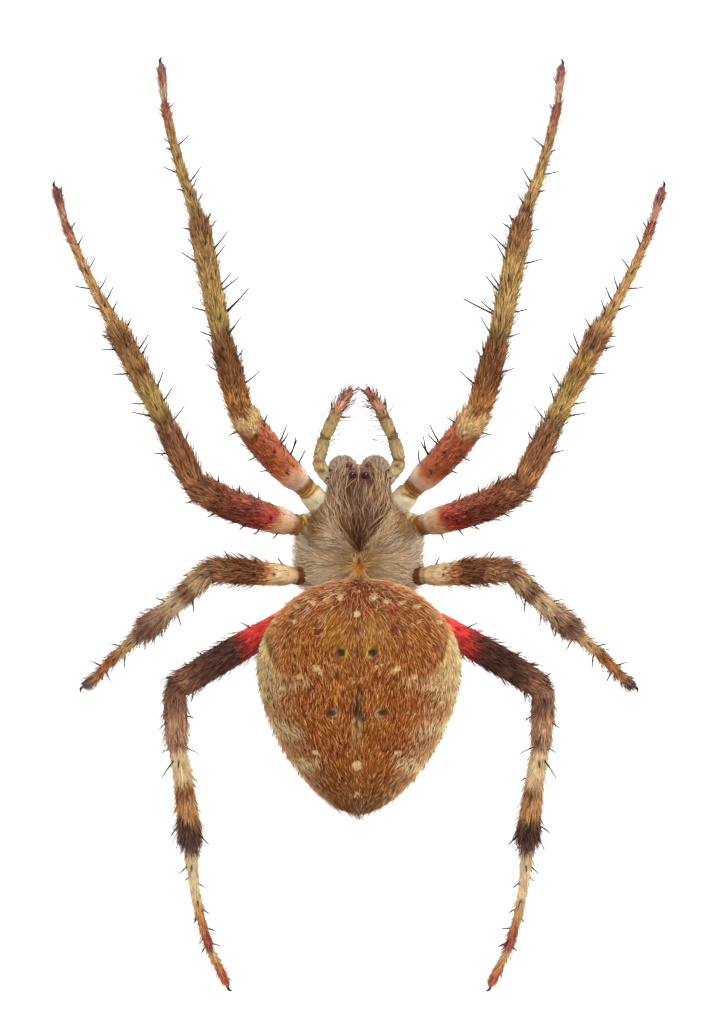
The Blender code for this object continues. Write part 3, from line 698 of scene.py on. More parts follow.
# Spines on top and beneath, much alike on every leg.
commonSpines = {
    "femur": {"top": ((0.30, 0.20), (0.55, 0.22), (0.80, 0.20)), "below": ((0.25, 0.22), (0.50, 0.24),
                                                                           (0.75, 0.22))},
    "patella": {"top": ((0.20, 0.16), (0.85, 0.28)), "below": ()},
    "tibia": {"top": ((0.12, 0.22), (0.45, 0.24), (0.72, 0.20)), "below": ((0.15, 0.34), (0.42, 0.36),
                                                                           (0.68, 0.34), (0.93, 0.24))},
    "metatarsus": {"top": ((0.15, 0.20), (0.50, 0.18)), "below": ((0.12, 0.34), (0.45, 0.28), (0.90, 0.16))},
}
spine = {"width": 0.042, "lift": 56.0, "topLift": 70.0, "curl": 0.06, "seed": 300,
         "angles": {"top": 0.0, "front": 78.0, "below": 180.0, "rear": 282.0},
         "segments": {"femur": 2, "patella": 3, "tibia": 4, "metatarsus": 5}}


def spineRoots(made):  # where a leg's spines stand, and how long they are
    draw = np.random.default_rng(spine["seed"] + legNames.index(made["leg"]))
    station, angle, length = [], [], []
    for table in (legSpines[made["leg"]], commonSpines):
        for segment, rows in table.items():
            for row, pairs in rows.items():
                for share, reach in pairs:
                    station.append(spine["segments"][segment] + share)
                    angle.append(spine["angles"][row] + draw.normal(0, 9))
                    length.append(reach * draw.uniform(0.95, 1.08))
    v = np.interp(station, made["station"], made["share"])
    u = np.array(angle) / 360
    return v, u, np.array(length)


def legGirth(leg):
    places, shares = np.array(legShape["profile"]).T
    girths = np.array(legShape["girths"][leg])

    def radius(station):
        segment = np.clip(station, 0, 6.999).astype(int)
        swell = 1 + legShape["tibiaSwell"][leg] * smooth(4.15, 4.85, station) * smooth(5.0, 4.9, station)
        return np.interp(station, places, shares) * girths[segment] * swell
    return radius


def makeLeg(leg, name):
    side = sides[name]
    nodes = {part: "_".join((leg, name, part)) for part in legParts}
    chain = list(nodes.values())
    joints = [meetingPoint(a, b) for a, b in zip(chain, chain[1:])]
    inward = unit(pointsOf(nodes["coxa"]).mean(0) - joints[0])
    hip = joints[0] + inward * legShape["coxaLength"]
    points, marks = [hip, joints[0] + inward * legShape["trochanter"][0], joints[0]], [0.0, 1.0, 1.45]
    after = unit(joints[1] - joints[0])
    points.append(joints[0] + after * legShape["trochanter"][1])
    marks.append(2.0)
    for index, part in enumerate(("femur", "patella", "tibia")):
        rings = ringCentres(nodes[part], joints[index], joints[index + 1])
        start, end = points[-1], joints[index + 1]
        whole = np.linalg.norm(end - start)
        for ring in rings[1:3]:
            points.append(ring)
            marks.append(2 + index + np.linalg.norm(ring - start) / whole)
        points.append(end)
        marks.append(3.0 + index)
    foot = pointsOf(nodes["foot"])
    far = foot[np.argmax(np.linalg.norm(foot - joints[3], axis=1))]
    rings = ringCentres(nodes["foot"], joints[3], far)
    tip = foot[np.argsort(foot @ (far - joints[3]))[-10:]].mean(0)
    points += [*rings[1:6], tip]
    marks += [5 + 1 / 3, 5 + 2 / 3, 6.0, 6 + 0.3, 6 + 0.6, 7.0]
    made = limb(points, marks, legGirth(leg), side)
    lowered = made["path"][-1, 2] - made["radius"][-1] - legShape["tipClearance"]
    made["path"][:, 2] -= max(lowered, 0) * smooth(5.0, 7.0, made["station"])
    made.update({"leg": leg, "name": name})
    spineV, spineU, _length = spineRoots(made)
    made["sockets"] = placeLimb(made, spineV, spineU) - shift
    return made


def paintLeg(made, v, u):
    place = placeLimb(made, v, u)
    station = np.interp(v, made["share"], made["station"])
    angle = 2 * math.pi * u
    wobble = 0.030 * ripple(place, 0.35, 5) + 0.012 * ripple(place, 0.12, 6)
    colour = stops(legBands[made["leg"]], station + wobble * smooth(2.0, 2.2, station))
    below = smooth(0.1, -0.8, np.cos(angle))
    colour = mixed(colour, linear("c8a878"), 0.28 * below)
    frontShare = smooth(-0.2, 0.9, np.sin(angle))
    # a smooth whitish knuckle at the front of the femur, and a rosier front
    if made["leg"] in ("leg_1", "leg_2"):
        colour = painted(colour, (
            ("d8c8b2", 0.9 * frontShare ** 2 * smooth(1.98, 2.05, station) * smooth(2.22, 2.12, station)),
            ("d98466", 0.40 * frontShare * smooth(2.2, 2.35, station) * smooth(2.9, 2.7, station)),
        ))
    for fold, slant, thickness in legShape["folds"]:  # thin dark creases round the trochanter
        crease = (station + 4 * wobble - fold - slant * np.sin(angle + 9 * fold)) / thickness
        colour = mixed(colour, linear("643016"),
                       0.9 * np.exp(-crease ** 2) * smooth(0.8, 1.0, station) * smooth(2.10, 2.03, station))
    streak = np.sin(angle * 11 + 3 * ripple(place, 0.8, 24)) * ripple(place, 0.5, 25)
    colour = colour * (1 + 0.16 * np.clip(streak, -1, 1) * smooth(2.1, 2.4, station))[:, None]
    nearest = np.linalg.norm(place[:, None] - made["sockets"][None], axis=2).min(1)
    return mixed(colour, linear("3a1a10"), 0.9 * smooth(0.075, 0.030, nearest))


def makePalp(name):
    side = sides[name]
    upper, lower = "palp_%s_upper" % name, "palp_%s_lower" % name
    joint = meetingPoint(upper, lower)
    low = pointsOf(lower)
    far = low[np.argmax(np.linalg.norm(low - joint, axis=1))]
    down = ringCentres(lower, joint, far)
    high = pointsOf(upper)
    back = unit(high[np.argmax(high[:, 1])] - joint)
    order = high[np.argsort(high @ back)]
    bend, knee = order[10:20].mean(0), order[20:30].mean(0)
    base = shift + np.array((side * 0.52, -0.72, 1.02))
    points = [base, knee * 0.35 + base * 0.65, bend, joint, down[1], down[-1]]
    marks = [0.0, 0.6, 1.85, 3.0, 4.0, 5.0]
    made = limb(points, marks, profiled(palpShape["profile"]), side, 0.12)
    made.update({"leg": "palp", "name": name})
    return made


palpShape = {
    "profile": ((0.0, 0.08), (0.5, 0.09), (0.9, 0.115), (1.4, 0.145), (1.85, 0.160), (2.0, 0.125),
                (2.1, 0.140), (2.6, 0.150), (2.97, 0.135), (3.0, 0.105), (3.06, 0.125), (3.5, 0.146),
                (3.94, 0.125), (4.0, 0.100), (4.08, 0.116), (4.5, 0.106), (4.85, 0.075), (4.96, 0.05),
                (5.0, 0.025)),
    "rings": 84, "sides": 18,
}
palpBands = ("0 6a4a30", "0.3 4a3022", "0.45 c0b298", "0.8 d8caac", "1.5 d0bc90", "1.88 b89868", "2.0 5c4428",
             "2.1 a89068", "2.5 ac9468", "2.92 8e744a", "3.0 46301c", "3.08 a08a50", "3.5 9a8256",
             "3.9 98744c", "4.02 c08c70", "4.3 c88c7a", "4.7 b46c64", "5 743834")


def paintPalp(made, v, u):
    place = placeLimb(made, v, u)
    station = np.interp(v, made["share"], made["station"])
    colour = stops(palpBands, station + 0.03 * ripple(place, 0.25, 5))
    speck = smooth(0.75, 1.0, ripple(place, 0.17, 23))
    return mixed(colour, linear("4a2614"), 0.75 * speck)


cheliceraShape = {
    "profile": ((0.0, 0.20), (0.12, 0.27), (0.30, 0.31), (0.55, 0.30), (0.8, 0.24), (0.93, 0.19),
                (1.0, 0.10)),
    "reach": 0.20, "top": 1.52, "rings": 50, "sides": 36,
}


# it starts under the head's front edge, bulges forwards and narrows down to the fang
def makeChelicera(name):
    side = sides[name]
    low, high = corners("chelicera_" + name)
    middle = (low + high) / 2
    girth = max(radius for _share, radius in cheliceraShape["profile"])
    front = zeroY + headFront - cheliceraShape["reach"] + girth
    points = [(middle[0], front + 0.10, cheliceraShape["top"]),
              (middle[0] + side * 0.02, front + 0.01, cheliceraShape["top"] - 0.22),
              (middle[0] + side * 0.02, front, middle[2]),
              (middle[0] - side * 0.02, front + 0.05, middle[2] - 0.30),
              (middle[0] - side * 0.05, front + 0.12, low[2] + 0.05)]
    places, radii = np.array(cheliceraShape["profile"]).T
    path, station = smoothedPath(points, np.linspace(0, 1, 5), 0.02, 0.10)
    run = unit(np.gradient(path, axis=0))
    front = unit(np.cross(run, (1.0, 0.0, 0.0)))
    top = unit(np.cross(front, run))
    return {"path": path, "station": station, "run": run, "front": front, "top": top, "side": side,
            "leg": "chelicera",
            "name": name, "radius": np.interp(station, places, radii), "share": np.linspace(0, 1, len(path))}


def paintChelicera(made, v, u):
    colour = stops(("0 92766a", "0.25 a89888", "0.6 988476", "0.85 603e2c", "1 2a140e"), v)
    return mixed(colour, linear("4a3428"), 0.4 * smooth(0.2, 0.9, ripple(placeLimb(made, v, u), 0.2, 31)))


# its ends reach into carapace and abdomen
pedicelShape = {"girth": 0.21, "reach": 0.15, "level": 0.24, "colour": ("0 4a3020", "1 4a3020"),
                "rings": 8, "sides": 20}


def makePedicel():
    low, high = corners("pedicel")
    reach, level = pedicelShape["reach"], pedicelShape["level"]
    points = [(shift[0], low[1] - reach, low[2] + level), (shift[0], high[1] + reach, high[2] - level)]
    return limb(points, (0, 1), profiled(((0, 1), (1, 1)), pedicelShape["girth"]), 1)


spinneretShape = {
    # aside, along, girth, reach
    "cones": ((0.17, -0.12, 0.16, 1.0), (0.16, 0.14, 0.15, 0.95), (0.05, 0.02, 0.07, 0.7)),
    "profile": ((0.0, 1.0), (0.45, 0.92), (0.72, 0.72), (0.76, 0.58), (0.93, 0.42), (1.0, 0.12)),
    "bands": ("0 4a2a18", "0.6 6a4228", "0.75 3a2014", "1 8a6040"), "rings": 18, "sides": 14,
}


def makeSpinnerets():
    low, high = corners("spinnerets")
    middle = (low + high) / 2
    made = []
    for aside, along, girth, reach in spinneretShape["cones"]:
        for side in (-1, 1):
            start = np.array((shift[0] + side * aside * 0.9, middle[1] + along - 0.08, high[2] + 0.05))
            end = np.array((shift[0] + side * aside * 0.7, middle[1] + along * 0.8 + 0.12, low[2] + 0.05))
            end = start + (end - start) * reach
            made.append(limb([start, (start + end) / 2, end], (0, 0.5, 1),
                             profiled(spinneretShape["profile"], girth), 1, 0.05))
    return made


def plainPaint(codes):
    return lambda made, v, u: stops(codes, v)


def island(name, place, paint, rows, columns, patch):
    return {"name": name, "place": place, "paint": paint, "rows": rows, "columns": columns, "patch": patch}


def limbIsland(name, made, paint, rows, columns, patch):
    moved = dict(made)
    moved["path"] = made["path"] - shift  # every island is on the body's own scale
    done = island(name, lambda v, u: placeLimb(moved, v, u), lambda v, u, place: paint(moved, v, u), rows,
                  columns, patch)
    done["limb"] = moved
    return done


def islandNamed(islands, *words):
    return next(one for one in islands if one["name"] == "_".join(words))


def patchUv(patch, v, u):  # the place on the map of a point on an island
    left, low, right, high = patch
    return np.stack((left + (right - left) * u, low + (high - low) * v), axis=-1)


def skinIslands():
    made = [island("abdomen", placeAbdomen, paintAbdomen, abdomen["rows"], abdomen["columns"],
                   (0.01, 0.01, 0.56, 0.42)),
            island("carapace", placeCarapace, paintCarapace, carapace["rows"], carapace["columns"],
                   (0.58, 0.01, 0.99, 0.42))]
    for index, (leg, name) in enumerate((leg, name) for leg in legNames for name in sides):
        left = 0.01 + index * 0.123
        made.append(limbIsland("_".join((leg, name)), makeLeg(leg, name), paintLeg, legShape["rings"],
                               legShape["sides"], (left, 0.44, left + 0.115, 0.80)))
    for index, name in enumerate(sides):
        left = 0.01 + index * 0.25
        made.append(limbIsland("palp_" + name, makePalp(name), paintPalp, palpShape["rings"],
                               palpShape["sides"], (left, 0.82, left + 0.11, 0.99)))
        made.append(limbIsland("chelicera_" + name, makeChelicera(name), paintChelicera,
                               cheliceraShape["rings"],
                               cheliceraShape["sides"], (left + 0.12, 0.82, left + 0.24, 0.99)))
    made.append(limbIsland("pedicel", makePedicel(), plainPaint(pedicelShape["colour"]),
                           pedicelShape["rings"], pedicelShape["sides"], (0.52, 0.82, 0.60, 0.90)))
    for index, cone in enumerate(makeSpinnerets()):
        left = 0.61 + index * 0.06
        made.append(limbIsland("spinneret_%d" % index, cone, plainPaint(spinneretShape["bands"]),
                               spinneretShape["rings"],
                               spinneretShape["sides"], (left, 0.82, left + 0.055, 0.92)))
    return made


def addPiece(name, mesh, material):
    mesh.materials.append(materials[material])
    piece = bpy.data.objects.new(name, mesh)
    bpy.context.scene.collection.objects.link(piece)
    return piece


def buildMesh(name, points, faces, uvs, colours):  # points on the body's scale, and faces as arrays
    mesh = bpy.data.meshes.new(name)
    mesh.vertices.add(len(points))
    mesh.vertices.foreach_set("co", ((points + shift) * mm).ravel())
    faceCorners = np.concatenate([block.ravel() for block in faces])
    totals = np.concatenate([np.full(len(block), block.shape[1]) for block in faces])
    mesh.loops.add(len(faceCorners))
    mesh.loops.foreach_set("vertex_index", faceCorners.astype(np.int32))
    mesh.polygons.add(len(totals))
    mesh.polygons.foreach_set("loop_start", np.concatenate(([0], np.cumsum(totals)[:-1])).astype(np.int32))
    mesh.polygons.foreach_set("loop_total", totals.astype(np.int32))
    mesh.update(calc_edges=True)
    mapped = mesh.uv_layers.new(name="OFBake")
    mapped.data.foreach_set("uv", np.concatenate([block.reshape(-1, 2) for block in uvs]).ravel())
    markings = mesh.attributes.new("markings", "FLOAT_COLOR", "POINT")
    markings.data.foreach_set("color", np.hstack((colours, np.ones((len(colours), 1)))).ravel())
    mesh.polygons.foreach_set("use_smooth", np.full(len(totals), True))
    mesh.validate()
    return mesh


def islandMesh(made):  # a closed grid with a point at each end
    rows, columns = made["rows"], made["columns"]
    v = np.repeat(np.linspace(0, 1, rows)[1:-1], columns)
    u = np.tile(np.arange(columns) / columns, rows - 2)
    v, u = np.concatenate(([0.0], v, [1.0])), np.concatenate(([0.0], u, [0.0]))
    points = made["place"](v, u)
    ring = np.arange(columns)
    after = (ring + 1) % columns
    start = 1 + np.arange(rows - 3)[:, None] * columns
    quads = np.stack((start + ring, start + after, start + columns + after, start + columns + ring),
                     axis=-1).reshape(-1, 4)
    first = np.stack((np.zeros(columns, int), 1 + after, 1 + ring), axis=-1)
    last = 1 + (rows - 3) * columns
    end = np.stack((np.full(columns, len(v) - 1), last + ring, last + after), axis=-1)
    step, edge = 1 / (rows - 1), 1 / columns
    rowOf = (1 + np.arange(rows - 3)[:, None] * np.ones(columns)).ravel() * step
    columnOf = np.tile(ring * edge, rows - 3)
    quadUv = patchUv(made["patch"], np.stack((rowOf, rowOf, rowOf + step, rowOf + step), axis=1),
                     np.stack((columnOf, columnOf + edge, columnOf + edge, columnOf), axis=1))
    middle = ring * edge + edge / 2
    firstUv = patchUv(made["patch"], np.stack((0 * middle, 0 * middle + step, 0 * middle + step), axis=1),
                      np.stack((middle, middle + edge / 2, middle - edge / 2), axis=1))
    endUv = patchUv(made["patch"],
                    np.stack((0 * middle + 1, 0 * middle + 1 - step, 0 * middle + 1 - step), axis=1),
                    np.stack((middle, middle - edge / 2, middle + edge / 2), axis=1))
    towards = points[quads[0]].mean(0)
    across = np.cross(points[quads[0, 1]] - points[quads[0, 0]], points[quads[0, 3]] - points[quads[0, 0]])
    # turn it inside out, so that it faces outwards
    if across @ (towards - points[1:1 + columns].mean(0)) < 0:
        quads, first, end = quads[:, ::-1], first[:, ::-1], end[:, ::-1]
        quadUv, firstUv, endUv = quadUv[:, ::-1], firstUv[:, ::-1], endUv[:, ::-1]
    return (points, quads, np.vstack((first, end)), quadUv, np.vstack((firstUv, endUv)),
            made["paint"](v, u, points))


def joinedPiece(name, islands, material):  # islands as one piece on the body
    points, quads, triangles, quadUvs, triangleUvs, colours = [], [], [], [], [], []
    count = 0
    for made in islands:
        place, quad, triangle, quadUv, triangleUv, colour = islandMesh(made)
        points.append(place)
        quads.append(quad + count)
        triangles.append(triangle + count)
        quadUvs.append(quadUv)
        triangleUvs.append(triangleUv)
        colours.append(colour)
        count += len(place)
    mesh = buildMesh(name, np.vstack(points), [np.vstack(quads), np.vstack(triangles)],
                     [np.vstack(quadUvs), np.vstack(triangleUvs)], np.clip(np.vstack(colours), 0, 1))
    piece = addPiece(name, mesh, material)
    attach(piece, "root")
    print("piece:", name, len(mesh.polygons), "faces")
    return piece


def buildSkin(islands):
    skin = joinedPiece("skin", islands, "satinCuticle")
    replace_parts(skin, *[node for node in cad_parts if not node.startswith(("eye_", "fang_"))])


evenSteps = (0.7548776662, 0.5698402910)  # one step along and across, which fills a square evenly
rootShake = 0.45


def scatter(made, count, seed, keep=None, tries=6):  # even random roots on an island, with their directions
    draw = np.random.default_rng(seed)
    steps = np.outer(evenSteps, np.arange(count * tries))
    v, u = (steps + draw.normal(0, rootShake / math.sqrt(count), steps.shape)) % 1
    v = 0.012 + 0.976 * v
    small = 1e-3
    place = made["place"](v, u)
    along = (made["place"](np.minimum(v + small, 1), u) - made["place"](v - small, u)) / (2 * small)
    around = (made["place"](v, u + small) - made["place"](v, u - small)) / (2 * small)
    normal = np.cross(around, along)
    area = np.linalg.norm(normal, axis=1)
    chance = np.minimum(area / np.percentile(area, 97), 1)
    if keep is not None:
        chance = chance * keep(place, v, u)
    chosen = np.flatnonzero(draw.uniform(0, 1, len(v)) < chance)[:count]
    middle = (made["place"](v[chosen], 0 * v[chosen]) + made["place"](v[chosen], 0 * v[chosen] + 0.5)) / 2
    normal = unit(normal[chosen])
    outward = np.sign(np.sum(normal * (place[chosen] - middle), axis=1))
    normal *= np.where(outward == 0, 1, outward)[:, None]
    return {"v": v[chosen], "u": u[chosen], "place": place[chosen], "normal": normal,
            "along": unit(along[chosen]),
            "colour": made["paint"](v[chosen], u[chosen], place[chosen]), "draw": draw}


def rootsAt(made, v, u, settings):  # roots at chosen places
    place, small = made["place"](v, u), 1e-3
    along = unit(made["place"](v + small, u) - made["place"](v - small, u))
    middle = (made["place"](v, u) + made["place"](v, u + 0.5)) / 2
    return {"v": v, "u": u, "place": place, "normal": unit(place - middle), "along": along, **settings}


def laid(roots, wish):  # a wished direction, laid in the surface
    normal = roots["normal"]
    return unit(wish - normal * np.sum(wish * normal, axis=1)[:, None])


def turned(roots, lie, angle):  # the lie turned about the normal
    across = np.cross(roots["normal"], lie)
    return lie * np.cos(angle)[:, None] + across * np.sin(angle)[:, None]


# solid tapered hairs: three-sided rings and a point, leaning along the lie and curling back to the skin
def hairMesh(name, roots, lie, length, width, lift, curl, colours, uvs, levels=(0.0, 0.45, 0.8), bend=None,
             flatness=0.55, taper=0.62):
    count, rings = len(length), len(levels)
    normal, place = roots["normal"], roots["place"]
    side = unit(np.cross(lie, normal))
    facing = ((normal * np.cos(lift)[:, None] - lie * np.sin(lift)[:, None])
              * np.broadcast_to(flatness, count)[:, None])
    shape = ((-0.5, 0.0), (0.5, 0.0), (0.0, 1.0))
    blocks, shades = [], []
    for index, level in enumerate((*levels, 1.0)):
        rise = np.sin(lift) * (level - curl * level * level)
        centre = place + (lie * (np.cos(lift) * level)[:, None] + normal * rise[:, None]) * length[:, None]
        if bend is not None:
            centre += side * (bend * level * level * length)[:, None]
        if index == 0:
            centre = centre - normal * (0.3 * width)[:, None]
        if level == 1.0:
            blocks.append(centre[:, None])
        else:
            girth = (width * (1 - taper * level ** 1.5))[:, None]
            blocks.append(np.stack([centre + (side * across + facing * out) * girth for across, out in shape],
                                   axis=1))
        shades.append(0.60 + 0.50 * level)  # darker towards the root, where little light reaches
    points = np.concatenate(blocks, axis=1)
    points[..., 2] = np.maximum(points[..., 2], hairFloor)  # hairs under the feet bend flat on the floor
    perHair = rings * 3 + 1
    base = (np.arange(count) * perHair)[:, None]
    quads, tips = [], []
    for ring in range(rings - 1):
        for corner in range(3):
            other = (corner + 1) % 3
            quads.append(base + np.array((ring * 3 + corner, ring * 3 + other,
                                          ring * 3 + 3 + other, ring * 3 + 3 + corner)))
    for corner in range(3):
        tips.append(base + np.array((rings * 3 - 3 + corner, rings * 3 - 3 + (corner + 1) % 3, rings * 3)))
    tips.append(base + np.array((2, 1, 0)))
    quads, tips = np.concatenate(quads), np.concatenate(tips)
    levelOf = np.concatenate((np.repeat(np.arange(rings), 3), [rings])) / rings
    spread = np.concatenate((np.tile((-0.5, 0.0, 0.5), rings), [0.0]))
    patch = 0.003  # size of the patch that each hair has on the map
    hairUv = uvs[:, None] + patch * np.stack((spread, levelOf - 0.5), axis=1)[None]
    flatUv = hairUv.reshape(-1, 2)
    shade = np.concatenate((np.repeat(shades[:-1], 3), [shades[-1]]))
    tinted = np.clip(colours[:, None] * shade[None, :, None], 0, 1).reshape(-1, 3)
    return buildMesh(name, points.reshape(-1, 3), [quads, tips],
                     [flatUv[quads.ravel()], flatUv[tips.ravel()]], tinted)


def addCoat(name, mesh, material="chitinSetae"):
    piece = addPiece(name, mesh, material)
    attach(piece, "root")
    triangles = sum(len(polygon.vertices) - 2 for polygon in mesh.polygons)
    print("coat:", name, triangles, "triangles")
    return piece


def lighter(colours, factor):  # paler, in the same hue
    return colours * np.minimum(factor, 1.0 / colours.max(axis=1))[:, None]


def joinRoots(parts):
    return {key: np.concatenate([part[key] for part in parts]) for key in parts[0] if key != "draw"}


# roots on a left and a right limb, each on its half of the map
def pairedRoots(islands, kind, count, seed, cover=None):
    parts, uvs = [], []
    for index, name in enumerate(sides):
        made = islandNamed(islands, kind, name)
        along = made["limb"]

        def keep(place, v, u, along=along):
            return cover(along, place, np.interp(v, along["share"], along["station"]))
        roots = scatter(made, count, seed + index, keep if cover else None)
        roots["station"] = np.interp(roots["v"], along["share"], along["station"])
        parts.append(roots)
        left = 0.01 + 0.5 * index
        uvs.append(patchUv((left, 0.01, left + 0.48, 0.99), roots["v"], roots["u"]))
    return joinRoots(parts), np.vstack(uvs)


coatAbdomen = {
    "top": 17500, "under": 5000, "length": (0.13, 0.22), "width": 0.0158, "lift": 15.0, "curl": 0.55,
    "shade": 0.90,
    "pitReach": (0.13, 0.12, 0.10), "tufts": 1300, "tuftLength": (0.07, 0.13), "tuftWidth": 0.018,
    "longSetae": 340, "longLength": (0.28, 0.50), "longWidth": 0.012,
    "fringe": 1300, "fringeLength": (0.14, 0.30), "fringeWidth": 0.011,
}


# setae point outwards over the shoulders, in towards the tip behind, and part round the pits
def abdomenLie(place):
    x, y = place[:, 0] - abdomen["patternAside"], place[:, 1]
    outwards = np.interp(y, (1.2, 2.0, 2.6, 3.1, 3.6, 4.4, 5.6, 6.7),
                         (1.5, 1.2, 0.75, 0.25, -0.15, -0.50, -0.70, -0.5))
    flow = np.stack((outwards * x / abdomenHalfWidth, np.ones(len(x))), axis=1)
    for side in (-1, 1):
        for (pitX, pitY, _halfWidth, _halfLength, _depth), reach in zip(abdomen["pits"],
                                                                        coatAbdomen["pitReach"]):
            away = np.stack((x - side * pitX, y - pitY), axis=1)
            distance = np.maximum(np.linalg.norm(away, axis=1, keepdims=True), reach)
            ray = away / distance
            along = np.sum(flow * ray, axis=1, keepdims=True)
            flow = flow - (reach / distance) ** 2 * (2 * along * ray - flow)
    return np.stack((flow[:, 0], flow[:, 1], np.zeros(len(x))), axis=1)


def abdomenFlank(aside, y):  # 0 on the back and 1 along the outline behind
    edge = np.interp(y, (3.4, 4.6, 5.6, 6.4), (2.30, 2.05, 1.45, 0.75))
    return smooth(0.55, 0.92, aside / edge)


def abdomenTint(place):  # colour of the setae
    y, aside = place[:, 1], patternSide(place[:, 0])
    tint = stops(("1.2 d48a5c", "1.9 de8e52", "2.6 e08e48", "3.4 e08a44", "4.4 da823a", "5.2 d07832",
                  "5.8 bc6c28", "6.6 9c5a1e"), y)
    tint = tint * coatAbdomen["shade"]
    tint = painted(tint, (
        ("d8a844", 0.75 * blob(aside, y, (0.42, 2.45), 0.25)),
        ("8a6248", 0.65 * darkLine(place[:, 0], y)),
        ("f4dca0", 0.6 * medianPale(place[:, 0], y)),
        ("fadcb0", 0.60 * paleBands(aside, y)),
    ))
    flank = abdomenFlank(aside, y)
    # towards the outline the setae are mixed towards pale pinkish cream, partly their own colour and partly
    # painted light, and made slightly brighter there as painted light
    tint = (mixed(tint, linear("f6cfa0"), 0.42 * flank * (0.4 + 0.6 * smooth(2.8, 3.4, y)))
            * (1 + 0.12 * flank)[:, None])
    tint = mixed(tint, linear("ffe2b8"), 0.60 * paleBands(aside, y) * flank)
    return mixed(tint, linear("ffe4ac"), 0.95 * shoulderPale(aside, y) * (1 - 0.35 * smooth(3.3, 3.8, y)))


# 1 where no setae stand: the pits with a little before them, and partly the dark line and dots
def abdomenBare(place):
    middle, y, aside = place[:, 0] - abdomen["patternAside"], place[:, 1], patternSide(place[:, 0])
    bare = 0.55 * blob(middle, 0, (0, 0), 0.09) * smooth(3.3, 3.6, y) * smooth(4.7, 4.4, y)
    bare = np.maximum(bare, 0.55 * sprinkled(dotPlaces, aside, y))
    crescent = (aside - np.interp(y, (2.4, 2.75, 3.15), (2.05, 2.00, 1.92))) / 0.075
    bare = np.maximum(bare, 0.97 * np.exp(-crescent ** 2) * smooth(2.35, 2.5, y) * smooth(3.15, 3.0, y))
    bare = np.maximum(bare, creamTufts(aside, y + 0.04))
    for spotX, spotY, halfWidth, halfLength, _code in abdomen["darkSpots"]:
        bare = np.maximum(bare, 0.8 * spot(aside, y, (spotX, spotY - 0.05),
                                           (halfWidth * 1.1, halfLength * 1.4), 0.4))
    for pitX, pitY, halfWidth, halfLength, _depth in abdomen["pits"][:2]:
        bare = np.maximum(bare,
                          spot(aside, y, (pitX, pitY - 0.07), (halfWidth * 1.15, halfLength + 0.10), 0.15))
    return np.clip(bare, 0, 1)


def furAbdomen(islands):
    made = islandNamed(islands, "abdomen")
    for half, count, seed in (("top", coatAbdomen["top"], 41), ("under", coatAbdomen["under"], 42)):
        def keep(place, v, u, half=half):
            facing = np.cos(2 * math.pi * u)
            return (facing > -0.12) * (1 - abdomenBare(place)) if half == "top" else facing <= -0.12
        roots = scatter(made, count, seed, keep)
        draw, place = roots["draw"], roots["place"]
        x, y = place[:, 0], place[:, 1]
        flank = smooth(0.42, 0.10, np.abs(np.cos(2 * math.pi * roots["u"])))
        swirl = 0.22 * ripple(place, 0.9, 51) + 0.16 * ripple(place, 0.3, 52) + draw.normal(0, 0.16, len(x))
        lie = turned(roots, laid(roots, abdomenLie(place)), swirl)
        length = draw.uniform(*coatAbdomen["length"], len(x)) * (1 + 0.3 * smooth(2.1, 1.3, y) + 0.15 * flank)
        width = coatAbdomen["width"] * draw.uniform(0.70, 1.20, len(x)) * (1 - 0.20 * flank)
        lift = (coatAbdomen["lift"] + draw.normal(0, 6, len(x)) + 10 * smooth(2.0, 1.3, y)
                + 10 * smooth(5.5, 6.4, y))
        tint = abdomenTint(place)
        if half == "under":
            tint = mixed(roots["colour"], linear("c9ae80"), np.full(len(x), 0.45) * (1 - flank) + flank)
        banded = paleBands(patternSide(x), y)
        side = abdomenFlank(patternSide(x), y) * smooth(3.0, 3.4, y)
        streaked = draw.uniform(0, 1, len(x)) < 0.24 + 0.44 * banded + 0.06 * side
        pale = np.maximum(sprinkled(fleckPlaces, patternSide(x), y), 0.9 * streaked)
        # painted light: setae where the surface faces sideways are made up to half again brighter, as the
        # abdomen's sides catch less of the light from above
        bright = (draw.uniform(0.70, 1.22, len(x)) * (1 + 0.50 * flank)
                  * (1 + (0.22 + 0.14 * banded) * streaked))
        dull = ((draw.uniform(0, 1, len(x)) < 0.22 + 0.14 * np.maximum(banded, side)) * (1 - flank)
                * (1 - streaked))
        streak = mixed(plain("f6bc7e", len(x)), linear("f8dca6"), 0.85 * np.maximum(banded, 0.5 * side))
        setae = mixed(tint, streak, (0.76 + 0.10 * banded) * pale)
        colour = mixed(roots["colour"], setae, np.full(len(x), 0.90)) * bright[:, None]
        colour = mixed(colour, linear("6e2c06"), 0.8 * dull)
        uvs = patchUv(wholeMap, roots["v"], roots["u"])
        bend = 0.22 * ripple(place, 0.45, 53) + draw.normal(0, 0.14, len(x))
        mesh = hairMesh("coatAbdomen_" + half, roots, lie, length, width, np.radians(lift + 6 * flank),
                        np.full(len(x), coatAbdomen["curl"]), colour, uvs, (0.0, 0.5), bend)
        addCoat("coatAbdomen_" + half, mesh)
    furAbdomenTufts(made)
    furAbdomenFringe(made)


